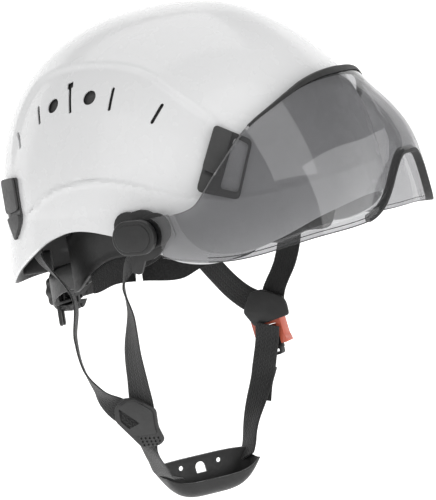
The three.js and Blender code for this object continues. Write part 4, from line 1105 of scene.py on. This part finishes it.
def build_dial():
    """Dial with finger scallops round its rim and stepped rings on its face."""
    steps, lobes = 160, 10
    start = 123.0
    rings = [(0, 0), (1, 0), (1, 1), (1, 6.6), (0.94, 7.7), (0.86, 8), (0.8, 8), (0.77, 7.3), (0.7, 7.3),
             (0.67, 8), (0.6, 8), (0.57, 6.4), (0.32, 6), (0.29, 7.2), (0, 7.6)]
    verts = []
    for share, depth in rings:
        for k in range(steps):
            t = 2 * math.pi * k / steps
            scallop = 0.8 * math.cos(lobes * t) if share > 0.9 else 0
            r = (14.4 + scallop) * share
            verts.append((-r * math.cos(t), start + depth, RATCHET_Z + r * math.sin(t)))
    faces = []
    for i in range(len(rings) - 1):
        for k in range(steps):
            k2 = (k + 1) % steps
            faces.append((i * steps + k, i * steps + k2, (i + 1) * steps + k2, (i + 1) * steps + k))
    return new_object("ratchet_dial_piece", verts, faces, GREY, 35)


put(build_dial(), "dial", "ratchet_dial")


def build_nape_pad():
    columns, rows, reach = 60, 16, 34
    u, v = grid(columns, rows)
    rim = np.clip(np.minimum(u, 1 - u) * 12, 0, 1)
    side = np.clip(np.minimum(v, 1 - v) * 5, 0, 1)
    round_off = np.sqrt(1 - (1 - rim) ** 2) * np.sqrt(1 - (1 - side) ** 2)
    sewn = 1 - 0.5 * sum(np.exp(-((u - k) * 40) ** 2) for k in (0.25, 0.5, 0.75))
    depth = 2.7 + (0.3 + (4.2 + 2 * np.sin(math.pi * u) * np.sin(math.pi * v)) * round_off * sewn)
    angle = np.radians(reach * (2 * u - 1))
    top, low = -47.0, -64 + 8 * np.abs(2 * u - 1)
    z = top + (low - top) * v

    def face(inset):
        r = 55 - inset
        return np.stack([r * np.sin(angle), 58.4 + r * np.cos(angle), z], -1)

    verts, faces = walled(face(2.7), face(depth), columns, rows)
    return new_object("nape_pad_piece", verts, faces, CLOTH, 60)


put(build_nape_pad(), "nape", "nape_pad")

# ---------------------------------------------------------------- studio
def area(name, location, target, size, power):
    light = bpy.data.lights.new(name, "AREA")
    light.shape = "RECTANGLE"
    light.size, light.size_y = size
    light.energy = power
    obj = bpy.data.objects.new(name, light)
    obj.location = location
    obj.rotation_euler = (Vector(target) - Vector(location)).to_track_quat("-Z", "Y").to_euler()
    bpy.context.scene.collection.objects.link(obj)


def build_floor():
    size, lift, radius = 6.0, 3.0, 1.2
    low = -0.29  # metres, below the chin cup at its lowest
    back = Vector((0.8554, 0.5135)).normalized()
    side = Vector((back.y, -back.x))
    profile = [(-size, 0)]
    for k in range(17):
        a = math.pi / 2 * k / 16
        profile.append((1.6 + radius * math.sin(a), radius * (1 - math.cos(a))))
    profile.append((1.6 + radius, lift))
    verts = [(back.x * d + side.x * s, back.y * d + side.y * s, low + h)
             for s in (-size, size) for d, h in profile]
    n = len(profile)
    faces = [(k, k + 1, n + k + 1, n + k) for k in range(n - 1)]
    mesh = bpy.data.meshes.new("studio_floor")
    mesh.from_pydata(verts, [], faces)
    obj = add_object("studio_floor", mesh)
    mesh.shade_smooth()
    mesh.materials.append(make_floor())


build_floor()

# The camera stands at the helmet's right front; the helmet's brow is tipped up by the pitch.
VIEW_AZIMUTH, VIEW_ELEVATION, HELMET_PITCH = -60, 9, 10
CAMERA_DISTANCE, CAMERA_LENS = 1.3, 131.04
AIM_RIGHT, AIM_DOWN = 0.0143, 0.0319


def build_camera():
    a, e = math.radians(VIEW_AZIMUTH), math.radians(VIEW_ELEVATION)
    tip = Matrix.Rotation(math.radians(HELMET_PITCH), 3, "X")
    back = tip @ Vector((math.sin(a) * math.cos(e), -math.cos(a) * math.cos(e), math.sin(e)))
    right = tip @ Vector((math.cos(a), math.sin(a), 0))
    up = back.cross(right)
    camera = bpy.data.cameras.new("camera")
    camera.sensor_width = 36
    camera.lens = CAMERA_LENS
    obj = add_object("camera", camera)
    view_back = (back - right * AIM_RIGHT + up * AIM_DOWN).normalized()
    view_right = up.cross(view_back).normalized()
    turned = Matrix((view_right, view_back.cross(view_right), view_back)).transposed().to_4x4()
    obj.matrix_world = Matrix.Translation(back * CAMERA_DISTANCE) @ turned
    bpy.context.scene.camera = obj


build_camera()

world = bpy.data.worlds.new("studio")
world.use_nodes = True
world.node_tree.nodes["Background"].inputs["Color"].default_value = (1, 1, 1, 1)
world.node_tree.nodes["Background"].inputs["Strength"].default_value = 0.48
bpy.context.scene.world = world
bpy.context.scene.view_settings.view_transform = "Standard"
area("key", (-1.1, -1.3, 1.6), (0, 0, 0), (1.3, 1.0), 4)
area("front_softbox", (-0.27, -1.91, 0.52), (0, -0.1, 0), (1.5, 1.6), 10)
area("fill", (-1.8, 0.6, 0.7), (0, 0, -0.02), (1.2, 1.2), 4)
area("top", (0.3, 0.4, 1.9), (0, 0, 0), (1.6, 1.6), 8.5)
